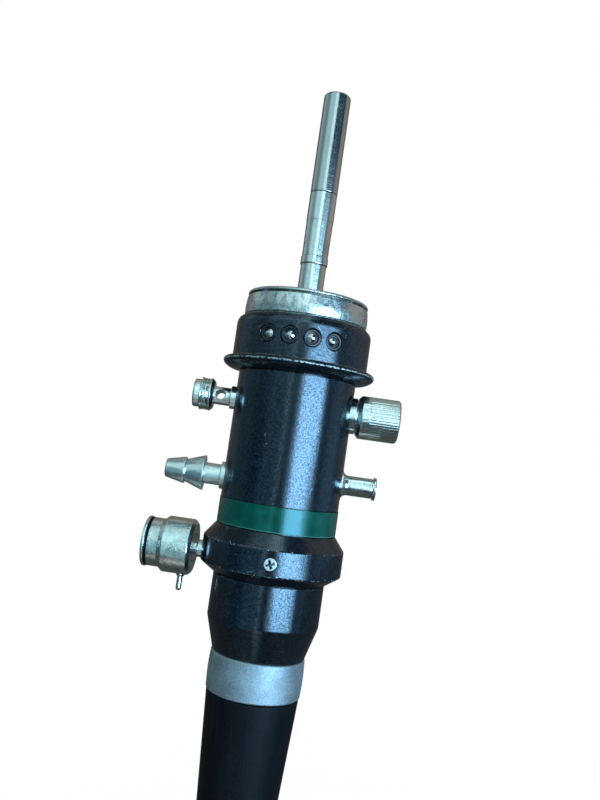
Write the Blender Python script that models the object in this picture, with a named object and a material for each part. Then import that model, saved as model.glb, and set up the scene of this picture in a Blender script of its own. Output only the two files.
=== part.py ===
"""Light source plug of a flexible endoscope, built from its separate pieces.

The plug stands upright. Its axis is Z, the light guide prong points up, and the origin lies
on the axis in the plane of the mounting flange's front face. The contacts face -Y. The earth
terminal, the suction nipple and the vent connector point to -X, and the capped port and the
air tube point to +X. Sizes are in metres, written in millimetres times MM.
"""

import math

import bmesh
import bpy
from mathutils import Vector

MM = 0.001

# Clearances: GAP between pieces that fit in or rest on one another, FIT between small ones
GAP = 0.3 * MM
FIT = 0.15 * MM

# Facets round a full turn
LARGE = 32
MEDIUM = 20
SMALL = 16
TINY = 12
SWEPT = 8

# Light guide prong, heights measured from the flange's front face
PRONG_R = 4.15 * MM
PRONG_TIP_Z = 84.55 * MM
PRONG_JOINT_Z = 53.3 * MM
PRONG_TAPER_Z = 44.4 * MM
PRONG_TIP_CHAMFER = 0.6 * MM
LIP_TOP_Z = 33.35 * MM
LIP_H = 2.3 * MM
WAIST_DEPTH = 0.18 * MM
NECK_R = 3.9 * MM
PRONG_SPIGOT_R = 3.3 * MM
PRONG_SPIGOT_LENGTH = 7.5 * MM
BUNDLE_R = 2.2 * MM
WINDOW_R = 2.9 * MM
WINDOW_H = 3.0 * MM
BASE_FLANGE_R = 7.0 * MM
BASE_FLANGE_H = 1.5 * MM
BASE_SHANK_R = 4.9 * MM
BASE_SHANK_LENGTH = 11.0 * MM
PRONG_NUT_FLATS = 14.0 * MM
PRONG_NUT_H = 4.0 * MM

# Barrel; the radii of the pieces round its axis are stated as steps from its radius
BARREL_R = 17.6 * MM
BARREL_LENGTH = 37.5 * MM
BARREL_WALL = 2.1 * MM

# Contact ring and the parts in it
CONTACT_RING_STEP = 2.7 * MM
CONTACT_RING_H = 12.5 * MM
CONTACT_RING_SHOULDER_IN = 1.7 * MM
CONTACT_RING_SHOULDER_H = 2.1 * MM
CONTACT_RING_WALL = 3.1 * MM
CONTACT_COUNT = 4
CONTACT_PITCH = math.radians(18.5)
CONTACT_CENTRE = math.radians(-1.6)
CONTACT_Z = 6.2 * MM
INSULATOR_R = 2.45 * MM
INSULATOR_RECESS_R = 1.8 * MM
INSULATOR_RECESS_DEPTH = 0.7 * MM
INSULATOR_SUNK = 0.25 * MM
CONTACT_SHANK_R = 0.85 * MM
CONTACT_HEAD_R = 1.35 * MM
CONTACT_DOME_H = 0.5 * MM
CARRIER_WALL = 2.7 * MM
CARRIER_H = 7.2 * MM

# Polished front ring and front plate
BAND_STEP = 0.1 * MM
BAND_TAPER = 0.3 * MM
BAND_H = 5.6 * MM
RING_GROOVE_DEPTH = 0.9 * MM
RING_GROOVE_H = 0.6 * MM
RIM_H = 0.95 * MM
RIM_ROUND = 0.45 * MM
RIM_WALL = 2.2 * MM
FRONT_LEDGE = 0.8 * MM
FRONT_PLATE_H = 2.7 * MM
O_RING_T = 1.0 * MM

# Mounting flange
FLANGE_STEP = 5.25 * MM
FLANGE_H = 3.6 * MM
FLANGE_FACE_IN = 1.2 * MM
FLANGE_WIDEST_DROP = 1.15 * MM
FLANGE_FOOT_STEP = 0.5 * MM
FLANGE_LAND = 1.3 * MM
FLANGE_SEAT_DEPTH = 0.4 * MM

# Green band and collar
STRIPE_PROUD = 0.15 * MM
STRIPE_H = 7.3 * MM
STRIPE_T = 0.55 * MM
COLLAR_STEP = 3.3 * MM
COLLAR_FLARE_H = 4.05 * MM
COLLAR_LAND_H = 7.3 * MM
COLLAR_CHAMFER_H = 2.8 * MM
COLLAR_LEDGE_H = 2.2 * MM
SCREW_DROP = 3.85 * MM
SCREW_HEAD_R = 1.8 * MM
SCREW_HEAD_H = 0.75 * MM
SCREW_SUNK = 0.2 * MM
SCREW_SHANK_R = 1.0 * MM
SCREW_BITE = 1.3 * MM

# Rear housing, ring nut and boot
HOUSING_STEP = 1.1 * MM
HOUSING_LAND_H = 12.4 * MM
HOUSING_CONE_H = 9.3 * MM
HOUSING_CONE_IN = 2.8 * MM
HOUSING_SPIGOT_H = 8.3 * MM
HOUSING_WALL = 2.2 * MM
HOUSING_TAIL_IN = 2.2 * MM
HOUSING_TAIL_H = 6.7 * MM
HOUSING_TAIL_WALL = 2.5 * MM
RING_NUT_PROUD = 0.2 * MM
RING_NUT_CROWN = 0.25 * MM
RING_NUT_H = 11.1 * MM
RING_NUT_CHAMFER = 0.3 * MM
BOOT_STEP = 0.25 * MM
BOOT_LENGTH = 79.5 * MM
BOOT_BORE_R = 6.3 * MM
BOOT_END_WALL = 2.5 * MM
BOOT_END_ROUND = 0.8 * MM
CLAMP_H = 5.0 * MM
CLAMP_WALL = 2.1 * MM
CLAMP_NOSE_H = 1.5 * MM

# Inner frame
ROD_COUNT = 3
ROD_R = 1.2 * MM
ROD_IN = 3.5 * MM
BULKHEAD_H = 2.7 * MM
BUNDLE_TAIL = 30.0 * MM

# Fittings through the barrel's wall; heights are drops below the flange's front face, and
# lengths along a fitting count outwards from the barrel's surface
SHANK_SPARE = 0.3 * MM
NUT_H = 1.6 * MM
NUT_WALL = 1.5 * MM
TERMINAL_DROP = 12.2 * MM
TERMINAL_SHANK_R = 2.0 * MM
TERMINAL_BOSS_R = 3.45 * MM
TERMINAL_BOSS_OUT = 1.4 * MM
TERMINAL_NECK_R = 2.7 * MM
TERMINAL_NECK_OUT = 6.4 * MM
TERMINAL_THREAD_R = 4.9 * MM
TERMINAL_THREAD_OUT = 10.3 * MM
TERMINAL_NOSE_R = 4.2 * MM
TERMINAL_OUT = 12.5 * MM
TERMINAL_HOLE_R = 1.4 * MM
TERMINAL_HOLE_OUT = 4.3 * MM
TERMINAL_HOLE_TURN = math.radians(9.0)

NIPPLE_DROP = 35.6 * MM
NIPPLE_SHANK_R = 2.6 * MM
NIPPLE_BORE_R = 1.9 * MM
NIPPLE_FLANGE_R = 4.05 * MM
NIPPLE_FLANGE_OUT = 0.95 * MM
NIPPLE_NECK_R = 3.15 * MM
NIPPLE_REAR_BARB_R = 5.2 * MM
NIPPLE_REAR_BARB_OUT = 5.9 * MM
NIPPLE_WAIST_R = 3.3 * MM
NIPPLE_FRONT_BARB_R = 3.95 * MM
NIPPLE_FRONT_BARB_OUT = 11.6 * MM
NIPPLE_TIP_R = 2.75 * MM
NIPPLE_OUT = 17.4 * MM
BARB_LAND = 0.25 * MM

PORT_DROP = 12.65 * MM
PORT_SHANK_R = 3.0 * MM
PORT_BORE_R = 1.6 * MM
PORT_FLANGE_R = 5.4 * MM
PORT_FLANGE_OUT = 1.4 * MM
PORT_STUB_R = 3.9 * MM
PORT_STUB_OUT = 10.4 * MM
CAP_R = 6.5 * MM
CAP_START_R = 5.5 * MM
CAP_CHAMFER_H = 1.0 * MM
CAP_PLAIN_H = 2.3 * MM
CAP_LENGTH = 12.5 * MM
CAP_END_CHAMFER = 0.5 * MM
CAP_FLUTES = 24
CAP_FLUTE_DEPTH = 0.22 * MM
GASKET_H = 1.0 * MM
GASKET_HOLE_R = 1.9 * MM

AIR_DROP = 33.4 * MM
AIR_SHANK_R = 2.6 * MM
AIR_BORE_R = 1.9 * MM
AIR_FOOT_R = 4.3 * MM
AIR_FOOT_OUT = 1.6 * MM
AIR_TUBE_R = 2.95 * MM
AIR_LIP_R = 3.4 * MM
AIR_LIP_H = 0.8 * MM
AIR_GROOVE_R = 2.7 * MM
AIR_GROOVE_H = 0.35 * MM
AIR_OUT = 10.1 * MM

PIPE_R = 1.9 * MM
PIPE_BORE_R = 1.3 * MM
PIPE_BEND_R = 4.0 * MM
PIPE_TAIL = 6.0 * MM

# Vent connector on the collar; lengths count outwards from the collar's surface
VENT_TURN = math.radians(4.0)
VENT_DROP = 5.05 * MM
VENT_SHANK_R = 2.6 * MM
VENT_THROAT_R = 2.0 * MM
VENT_THROAT_OUT = 1.3 * MM
VENT_BODY_OUT = 2.4 * MM
VENT_BODY_R = 8.3 * MM
VENT_BACK_CHAMFER = 0.9 * MM
VENT_STEP_OUT = 10.9 * MM
VENT_STEP_H = 1.3 * MM
VENT_NOSE_R = 7.2 * MM
VENT_NOSE_OUT = 15.4 * MM
VENT_LAND_R = 6.0 * MM
VENT_LAND_H = 1.3 * MM
VENT_SEAL_H = 0.5 * MM
VENT_RIM_R = 7.45 * MM
VENT_RIM_H = 0.95 * MM
VENT_RIM_ROUND = 0.35 * MM
VENT_MOUTH_R = 5.2 * MM
VENT_MOUTH_DEPTH = 5.7 * MM
VENT_WEB_H = 1.2 * MM
VENT_SEAT_R = 1.7 * MM
VENT_CHAMBER_R = 4.2 * MM
VENT_PLUG_H = 1.5 * MM
VENT_GUIDE_R = 1.1 * MM
POPPET_STEM_R = 1.2 * MM
POPPET_PROUD = 1.0 * MM
POPPET_HEAD_R = 3.2 * MM
POPPET_HEAD_H = 1.0 * MM
POPPET_TAIL_R = 0.8 * MM
POPPET_TAIL_LENGTH = 8.1 * MM
VALVE_SEAL_H = 0.7 * MM
SPRING_R = 1.9 * MM
SPRING_WIRE_R = 0.25 * MM
SPRING_TURNS = 3
KEY_PIN_OUT = 5.45 * MM
KEY_PIN_R = 0.83 * MM
KEY_PIN_LENGTH = 4.9 * MM
KEY_PIN_FLARE_R = 1.35 * MM
KEY_PIN_FLARE_H = 0.6 * MM
KEY_PIN_ROOT = 2.0 * MM

# Radii and heights that follow from the sizes above
BARREL_BORE_R = BARREL_R - BARREL_WALL
CONTACT_RING_R = BARREL_R + CONTACT_RING_STEP
CONTACT_RING_SHOULDER_R = CONTACT_RING_R - CONTACT_RING_SHOULDER_IN
BAND_BASE_R = CONTACT_RING_SHOULDER_R - BAND_STEP
RIM_R = BAND_BASE_R - BAND_TAPER
FRONT_BORE_R = RIM_R - RIM_WALL
FLANGE_R = BARREL_R + FLANGE_STEP
FLANGE_FACE_R = FLANGE_R - FLANGE_FACE_IN
FLANGE_FOOT_R = BARREL_R + FLANGE_FOOT_STEP
STRIPE_R = BARREL_R + STRIPE_PROUD
COLLAR_R = BARREL_R + COLLAR_STEP
HOUSING_R = BARREL_R - HOUSING_STEP
HOUSING_FOOT_R = HOUSING_R - HOUSING_CONE_IN
HOUSING_TAIL_R = HOUSING_FOOT_R - HOUSING_TAIL_IN
HOUSING_TAIL_BORE_R = HOUSING_TAIL_R - HOUSING_TAIL_WALL
RING_NUT_END_R = HOUSING_FOOT_R + RING_NUT_PROUD
BOOT_TOP_R = RING_NUT_END_R - BOOT_STEP
BOOT_END_R = BOOT_BORE_R + BOOT_END_WALL
BARREL_TOP = -FLANGE_H - GAP
STRIPE_TOP = BARREL_TOP - BARREL_LENGTH
STRIPE_END = STRIPE_TOP - STRIPE_H
COLLAR_TOP = STRIPE_END - GAP
COLLAR_LAND_TOP = COLLAR_TOP - COLLAR_FLARE_H
COLLAR_LAND_END = COLLAR_LAND_TOP - COLLAR_LAND_H
COLLAR_END = COLLAR_LAND_END - COLLAR_CHAMFER_H
COLLAR_LEDGE = COLLAR_END + COLLAR_LEDGE_H
BARREL_END = COLLAR_LEDGE + GAP
HOUSING_TOP = COLLAR_END - GAP
HOUSING_SPIGOT_TOP = HOUSING_TOP + HOUSING_SPIGOT_H
HOUSING_LAND_END = HOUSING_TOP - HOUSING_LAND_H
HOUSING_END = HOUSING_LAND_END - HOUSING_CONE_H
HOUSING_TAIL_END = HOUSING_END - HOUSING_TAIL_H
RING_NUT_TOP = HOUSING_END - GAP
RING_NUT_END = RING_NUT_TOP - RING_NUT_H
BOOT_TOP = RING_NUT_END - GAP
BOOT_END = BOOT_TOP - BOOT_LENGTH
CONTACT_RING_BASE = GAP - FLANGE_SEAT_DEPTH
CONTACT_RING_TOP = GAP + CONTACT_RING_H
FRONT_BAND_BASE = CONTACT_RING_TOP + GAP
FRONT_GROOVE_BASE = FRONT_BAND_BASE + BAND_H
FRONT_RIM_BASE = FRONT_GROOVE_BASE + RING_GROOVE_H
FRONT_TOP = FRONT_RIM_BASE + RIM_H
FRONT_PLATE_BASE = FRONT_BAND_BASE + 2 * GAP
FRONT_PLATE_TOP = FRONT_PLATE_BASE + FRONT_PLATE_H
BULKHEAD_BASE = HOUSING_SPIGOT_TOP + GAP
BULKHEAD_TOP = BULKHEAD_BASE + BULKHEAD_H
CONTACT_BORE_R = CONTACT_RING_R - CONTACT_RING_WALL
FRONT_SPIGOT_R = CONTACT_BORE_R - GAP
STRIPE_SEAT_R = STRIPE_R - STRIPE_T - GAP
COLLAR_BORE_R = STRIPE_SEAT_R + GAP
HOUSING_SPIGOT_R = BARREL_BORE_R - GAP
BUNDLE_BORE_R = BUNDLE_R + GAP
SCREW_Z = COLLAR_LAND_TOP - SCREW_DROP
VENT_Z = COLLAR_LAND_TOP - VENT_DROP

# Colour, roughness and metallic value of each finish
FINISHES = {
    "black_coat": ((0.014, 0.016, 0.022), 0.38, 0.4),
    "polished_steel": ((0.62, 0.66, 0.67), 0.14, 1.0),
    "nickel": ((0.56, 0.58, 0.57), 0.26, 1.0),
    "satin_silver": ((0.50, 0.54, 0.60), 0.42, 1.0),
    "green_enamel": ((0.0, 0.115, 0.075), 0.22, 0.0),
    "black_rubber": ((0.012, 0.012, 0.014), 0.45, 0.0),
    "black_plastic": ((0.012, 0.013, 0.016), 0.35, 0.0),
    "clear_glass": ((0.75, 0.85, 0.86), 0.04, 0.0),
    "glass_fibre": ((0.70, 0.72, 0.66), 0.50, 0.0),
    "aluminium": ((0.55, 0.56, 0.57), 0.35, 1.0),
    "spring_steel": ((0.45, 0.46, 0.47), 0.25, 1.0),
}


def make_material(name, finish):
    """A Principled material of one finish for one piece."""
    colour, roughness, metallic = FINISHES[finish]
    material = bpy.data.materials.new(f"{name}_{finish}")
    material.use_nodes = True
    shader = material.node_tree.nodes["Principled BSDF"]
    shader.inputs["Base Color"].default_value = (*colour, 1.0)
    shader.inputs["Roughness"].default_value = roughness
    shader.inputs["Metallic"].default_value = metallic
    material.diffuse_color = (*colour, 1.0)
    return material


def add_object(name, bm, finish, parent=None, location=(0, 0, 0)):
    """Turns a finished bmesh into a smooth shaded object with its own material."""
    bmesh.ops.recalc_face_normals(bm, faces=bm.faces)
    mesh = bpy.data.meshes.new(name)
    bm.to_mesh(mesh)
    bm.free()
    mesh.shade_smooth()
    mesh.set_sharp_from_angle(angle=math.radians(32))
    obj = bpy.data.objects.new(name, mesh)
    obj.parent = parent
    obj.location = location
    if finish:
        mesh.materials.append(make_material(name, finish))
    bpy.context.collection.objects.link(obj)
    return obj


def as_cutter(obj):
    """Marks an object as a construction aid of a Boolean, not a piece."""
    obj.hide_render = True
    obj.display_type = "WIRE"
    return obj


def combine(obj, other, operation="DIFFERENCE"):
    """Cuts or joins another shape on an object with a live Boolean."""
    modifier = obj.modifiers.new(other.name, "BOOLEAN")
    modifier.operation = operation
    modifier.solver = "EXACT"
    modifier.object = as_cutter(other)


def add_frame(name, height, azimuth=None):
    """An empty on the plug's axis; with an azimuth its Z points out sideways.

    The azimuth counts from -Y, the side of the contacts, and grows towards +X.
    """
    frame = bpy.data.objects.new(name, None)
    frame.location = (0, 0, height)
    if azimuth is not None:
        frame.rotation_euler = (math.radians(90), 0, azimuth)
    bpy.context.collection.objects.link(frame)
    return frame


def turned(name, outline, finish, segments, parent=None, location=(0, 0, 0)):
    """A solid of revolution about local Z from an outline of (radius, height) points.

    An outline that starts and ends on the axis makes a solid piece, any other one is
    closed and makes a ring or a tube. The spin starts half a step round, so a facet and not
    an edge faces along X and Y, where the fittings and screws pass through.
    """
    bm = bmesh.new()
    turn = math.pi / segments
    points = [
        bm.verts.new((radius * math.cos(turn), radius * math.sin(turn), height))
        for radius, height in outline
    ]
    edges = [bm.edges.new(pair) for pair in zip(points, points[1:])]
    if outline[0][0] > 0:
        edges.append(bm.edges.new((points[-1], points[0])))
    bmesh.ops.spin(
        bm, geom=points + edges, cent=(0, 0, 0), axis=(0, 0, 1),
        angle=2 * math.pi, steps=segments, use_merge=True,
    )
    bmesh.ops.remove_doubles(bm, verts=bm.verts, dist=0.001 * MM)
    return add_object(name, bm, finish, parent, location)


def cylinder(name, radius, start, end, segments, parent=None, location=(0, 0, 0), finish=None):
    """A plain round rod along local Z, mostly used as a cutter."""
    outline = [(0, start), (radius, start), (radius, end), (0, end)]
    return turned(name, outline, finish, segments, parent, location)


def lofted(name, rings, finish, closed, parent=None, location=(0, 0, 0)):
    """A skin over rings of equally many points; a closed one joins its last ring to its first."""
    bm = bmesh.new()
    loops = [[bm.verts.new(point) for point in ring] for ring in rings]
    pairs = list(zip(loops, loops[1:]))
    if closed:
        pairs.append((loops[-1], loops[0]))
    else:
        bm.faces.new(loops[0])
        bm.faces.new(loops[-1])
    for low, high in pairs:
        for index in range(len(low)):
            after = (index + 1) % len(low)
            bm.faces.new((low[index], low[after], high[after], high[index]))
    return add_object(name, bm, finish, parent, location)


def ring_of_points(radius_at, height, count):
    """Points round Z at one height; radius_at gives the radius of each point's number."""
    step = 2 * math.pi / count
    return [
        (radius_at(i) * math.cos(i * step), radius_at(i) * math.sin(i * step), height)
        for i in range(count)
    ]


def round_ring(radius, height, count):
    """Points on a circle."""
    return ring_of_points(lambda i: radius, height, count)


def hexagon_ring(flats, height, count):
    """Points on a hexagon of a width across flats, at even angles with one on each corner."""
    step = 2 * math.pi / count

    def radius_at(index):
        off_flat = (index * step) % math.radians(60) - math.radians(30)
        return flats / 2 / math.cos(off_flat)

    return ring_of_points(radius_at, height, count)


def hexagon_nut(name, flats, bore_r, start, end, parent=None):
    """A hexagon nut along local Z."""
    rings = [
        round_ring(bore_r, start, TINY),
        hexagon_ring(flats, start, TINY),
        hexagon_ring(flats, end, TINY),
        round_ring(bore_r, end, TINY),
    ]
    return lofted(name, rings, "nickel", closed=True, parent=parent)


def swept_rings(path, radius, count):
    """Circles square to a path, turned as little as possible from one to the next."""
    rings = []
    side = None
    for index, point in enumerate(path):
        before = path[max(index - 1, 0)]
        after = path[min(index + 1, len(path) - 1)]
        along = (after - before).normalized()
        if side is None:
            side = along.orthogonal().normalized()
        side = (side - along * side.dot(along)).normalized()
        other = along.cross(side)
        rings.append([
            point + radius * (side * math.cos(turn) + other * math.sin(turn))
            for turn in (2 * math.pi * i / count for i in range(count))
        ])
    return rings


def build_prong():
    """The light guide prong: tube, sleeve, base, nut, window and fibre bundle."""
    window_seat = PRONG_TIP_Z - GAP - WINDOW_H - GAP
    spigot_bore_r = PRONG_SPIGOT_R + GAP
    turned("light_guide_tube", [
        (BUNDLE_BORE_R, PRONG_JOINT_Z - PRONG_SPIGOT_LENGTH),
        (PRONG_SPIGOT_R, PRONG_JOINT_Z - PRONG_SPIGOT_LENGTH),
        (PRONG_SPIGOT_R, PRONG_JOINT_Z),
        (PRONG_R, PRONG_JOINT_Z),
        (PRONG_R, PRONG_TIP_Z - PRONG_TIP_CHAMFER),
        (PRONG_R - PRONG_TIP_CHAMFER, PRONG_TIP_Z),
        (WINDOW_R + GAP, PRONG_TIP_Z),
        (WINDOW_R + GAP, window_seat),
        (BUNDLE_BORE_R, window_seat),
    ], "polished_steel", MEDIUM)

    lip_base = LIP_TOP_Z - LIP_H
    sleeve_top = PRONG_JOINT_Z - FIT
    upper_seat = sleeve_top - PRONG_SPIGOT_LENGTH - GAP
    lower_seat = lip_base + PRONG_SPIGOT_LENGTH
    turned("light_guide_sleeve", [
        (spigot_bore_r, lip_base),
        (PRONG_R, lip_base),
        (PRONG_R, LIP_TOP_Z),
        (PRONG_R - WAIST_DEPTH, LIP_TOP_Z + FIT),
        (PRONG_R, PRONG_TAPER_Z),
        (PRONG_R, sleeve_top),
        (spigot_bore_r, sleeve_top),
        (spigot_bore_r, upper_seat),
        (BUNDLE_BORE_R, upper_seat),
        (BUNDLE_BORE_R, lower_seat),
        (spigot_bore_r, lower_seat),
    ], "polished_steel", MEDIUM)

    flange_base = FRONT_PLATE_TOP + GAP
    flange_top = flange_base + BASE_FLANGE_H
    shank_end = flange_base - BASE_SHANK_LENGTH
    neck_top = lip_base - FIT
    spigot_top = lower_seat - GAP
    turned("prong_base", [
        (BUNDLE_BORE_R, shank_end),
        (BASE_SHANK_R, shank_end),
        (BASE_SHANK_R, flange_base),
        (BASE_FLANGE_R, flange_base),
        (BASE_FLANGE_R, flange_top),
        (NECK_R, flange_top),
        (NECK_R, neck_top),
        (PRONG_SPIGOT_R, neck_top),
        (PRONG_SPIGOT_R, spigot_top),
        (BUNDLE_BORE_R, spigot_top),
    ], "polished_steel", MEDIUM)

    nut_top = FRONT_PLATE_BASE - GAP
    hexagon_nut(
        "prong_nut", PRONG_NUT_FLATS, BASE_SHANK_R + GAP, nut_top - PRONG_NUT_H, nut_top,
    )
    cylinder(
        "light_guide_window", WINDOW_R, window_seat + GAP, PRONG_TIP_Z - GAP, MEDIUM,
        finish="clear_glass",
    )
    cylinder(
        "light_guide_bundle", BUNDLE_R, HOUSING_SPIGOT_TOP - BUNDLE_TAIL, window_seat, TINY,
        finish="glass_fibre",
    )


def build_front():
    """The polished front ring, its O-ring and the front plate that carries the prong."""
    seal_base = 2 * GAP + CARRIER_H + FIT
    spigot_base = seal_base + O_RING_T + FIT
    ledge_r = FRONT_BORE_R - FRONT_LEDGE
    turned("front_ring", [
        (ledge_r, spigot_base),
        (FRONT_SPIGOT_R, spigot_base),
        (FRONT_SPIGOT_R, FRONT_BAND_BASE),
        (BAND_BASE_R, FRONT_BAND_BASE),
        (RIM_R, FRONT_GROOVE_BASE),
        (RIM_R - RING_GROOVE_DEPTH, FRONT_GROOVE_BASE),
        (RIM_R - RING_GROOVE_DEPTH, FRONT_RIM_BASE),
        (RIM_R, FRONT_RIM_BASE),
        (RIM_R, FRONT_TOP - RIM_ROUND),
        (RIM_R - RIM_ROUND, FRONT_TOP),
        (FRONT_BORE_R, FRONT_TOP),
        (FRONT_BORE_R, FRONT_PLATE_BASE - GAP),
        (ledge_r, FRONT_PLATE_BASE - GAP),
    ], "polished_steel", LARGE)
    build_o_ring("front_o_ring", FRONT_SPIGOT_R - O_RING_T, O_RING_T, seal_base)

    plate_bore_r = BASE_SHANK_R + GAP
    turned("front_plate", [
        (plate_bore_r, FRONT_PLATE_BASE),
        (FRONT_BORE_R - GAP, FRONT_PLATE_BASE),
        (FRONT_BORE_R - GAP, FRONT_PLATE_TOP),
        (plate_bore_r, FRONT_PLATE_TOP),
    ], "nickel", LARGE)


def build_o_ring(name, inner_r, thickness, base):
    """A rubber ring with a square section, as one squeezed in its groove."""
    turned(name, [
        (inner_r, base),
        (inner_r + thickness, base),
        (inner_r + thickness, base + thickness),
        (inner_r, base + thickness),
    ], "black_rubber", LARGE)


def build_contact_ring():
    """The black ring with its row of contacts, each a pin in a round insulator."""
    shoulder_base = CONTACT_RING_TOP - CONTACT_RING_SHOULDER_H
    shoulder_width = CONTACT_RING_R - CONTACT_RING_SHOULDER_R
    ring = turned("contact_ring", [
        (CONTACT_BORE_R, CONTACT_RING_BASE),
        (CONTACT_RING_R, CONTACT_RING_BASE),
        (CONTACT_RING_R, shoulder_base),
        (CONTACT_RING_R - 0.3 * shoulder_width, shoulder_base + 0.55 * CONTACT_RING_SHOULDER_H),
        (CONTACT_RING_SHOULDER_R, CONTACT_RING_TOP),
        (CONTACT_BORE_R, CONTACT_RING_TOP),
    ], "black_coat", LARGE)

    face = CONTACT_RING_R - INSULATOR_SUNK
    floor = face - INSULATOR_RECESS_DEPTH
    back = CONTACT_BORE_R + GAP
    bore_r = CONTACT_SHANK_R + FIT
    head_base = floor + FIT
    dome_base = head_base + FIT
    for number in range(CONTACT_COUNT):
        azimuth = CONTACT_CENTRE + (number - (CONTACT_COUNT - 1) / 2) * CONTACT_PITCH
        frame = add_frame(f"contact_axis_{number + 1}", CONTACT_Z, azimuth)
        hole = cylinder(
            f"contact_hole_{number + 1}", INSULATOR_R + FIT,
            CONTACT_BORE_R - CONTACT_RING_WALL, CONTACT_RING_R + CONTACT_RING_WALL, SMALL, frame,
        )
        combine(ring, hole)
        turned(f"contact_insulator_{number + 1}", [
            (bore_r, back),
            (INSULATOR_R, back),
            (INSULATOR_R, face),
            (INSULATOR_RECESS_R, face),
            (INSULATOR_RECESS_R, floor),
            (bore_r, floor),
        ], "black_plastic", SMALL, frame)
        turned(f"contact_pin_{number + 1}", [
            (0, back - GAP),
            (CONTACT_SHANK_R, back - GAP),
            (CONTACT_SHANK_R, head_base),
            (CONTACT_HEAD_R, head_base),
            (CONTACT_HEAD_R, dome_base),
            (0.7 * CONTACT_HEAD_R, dome_base + 0.65 * CONTACT_DOME_H),
            (0, dome_base + CONTACT_DOME_H),
        ], "nickel", TINY, frame)

    carrier_r = CONTACT_BORE_R - GAP
    turned("contact_carrier", [
        (carrier_r - CARRIER_WALL, GAP),
        (carrier_r, GAP),
        (carrier_r, GAP + CARRIER_H),
        (carrier_r - CARRIER_WALL, GAP + CARRIER_H),
    ], "black_plastic", MEDIUM)


def build_flange():
    """The mounting flange: flat front face with the contact ring's seat, and round rim."""
    spigot_r = BARREL_R - FLANGE_LAND + GAP
    turned("mounting_flange", [
        (spigot_r, -FLANGE_H),
        (FLANGE_FOOT_R, -FLANGE_H),
        (FLANGE_FOOT_R + 0.55 * (FLANGE_R - FLANGE_FOOT_R), -0.88 * FLANGE_H),
        (FLANGE_R - 0.1 * (FLANGE_R - FLANGE_FOOT_R), -FLANGE_WIDEST_DROP - 0.28 * FLANGE_H),
        (FLANGE_R, -FLANGE_WIDEST_DROP),
        (FLANGE_R - 0.3 * (FLANGE_R - FLANGE_FACE_R), -0.35 * FLANGE_WIDEST_DROP),
        (FLANGE_FACE_R, 0),
        (CONTACT_RING_R + FIT, 0),
        (CONTACT_RING_R + FIT, -FLANGE_SEAT_DEPTH),
        (spigot_r, -FLANGE_SEAT_DEPTH),
    ], "black_coat", LARGE)


def build_barrel():
    """The barrel and the green band on it; returns the barrel for the fittings' holes."""
    barrel = turned("barrel", [
        (BARREL_BORE_R, BARREL_END),
        (STRIPE_SEAT_R, BARREL_END),
        (STRIPE_SEAT_R, STRIPE_TOP),
        (BARREL_R, STRIPE_TOP),
        (BARREL_R, BARREL_TOP),
        (BARREL_R - FLANGE_LAND, BARREL_TOP),
        (BARREL_R - FLANGE_LAND, 0),
        (BARREL_BORE_R, 0),
    ], "black_coat", LARGE)
    turned("green_band", [
        (STRIPE_R - STRIPE_T, STRIPE_END),
        (STRIPE_R, STRIPE_END),
        (STRIPE_R, STRIPE_TOP - FIT),
        (STRIPE_R - STRIPE_T, STRIPE_TOP - FIT),
    ], "green_enamel", LARGE)
    return barrel


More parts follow.
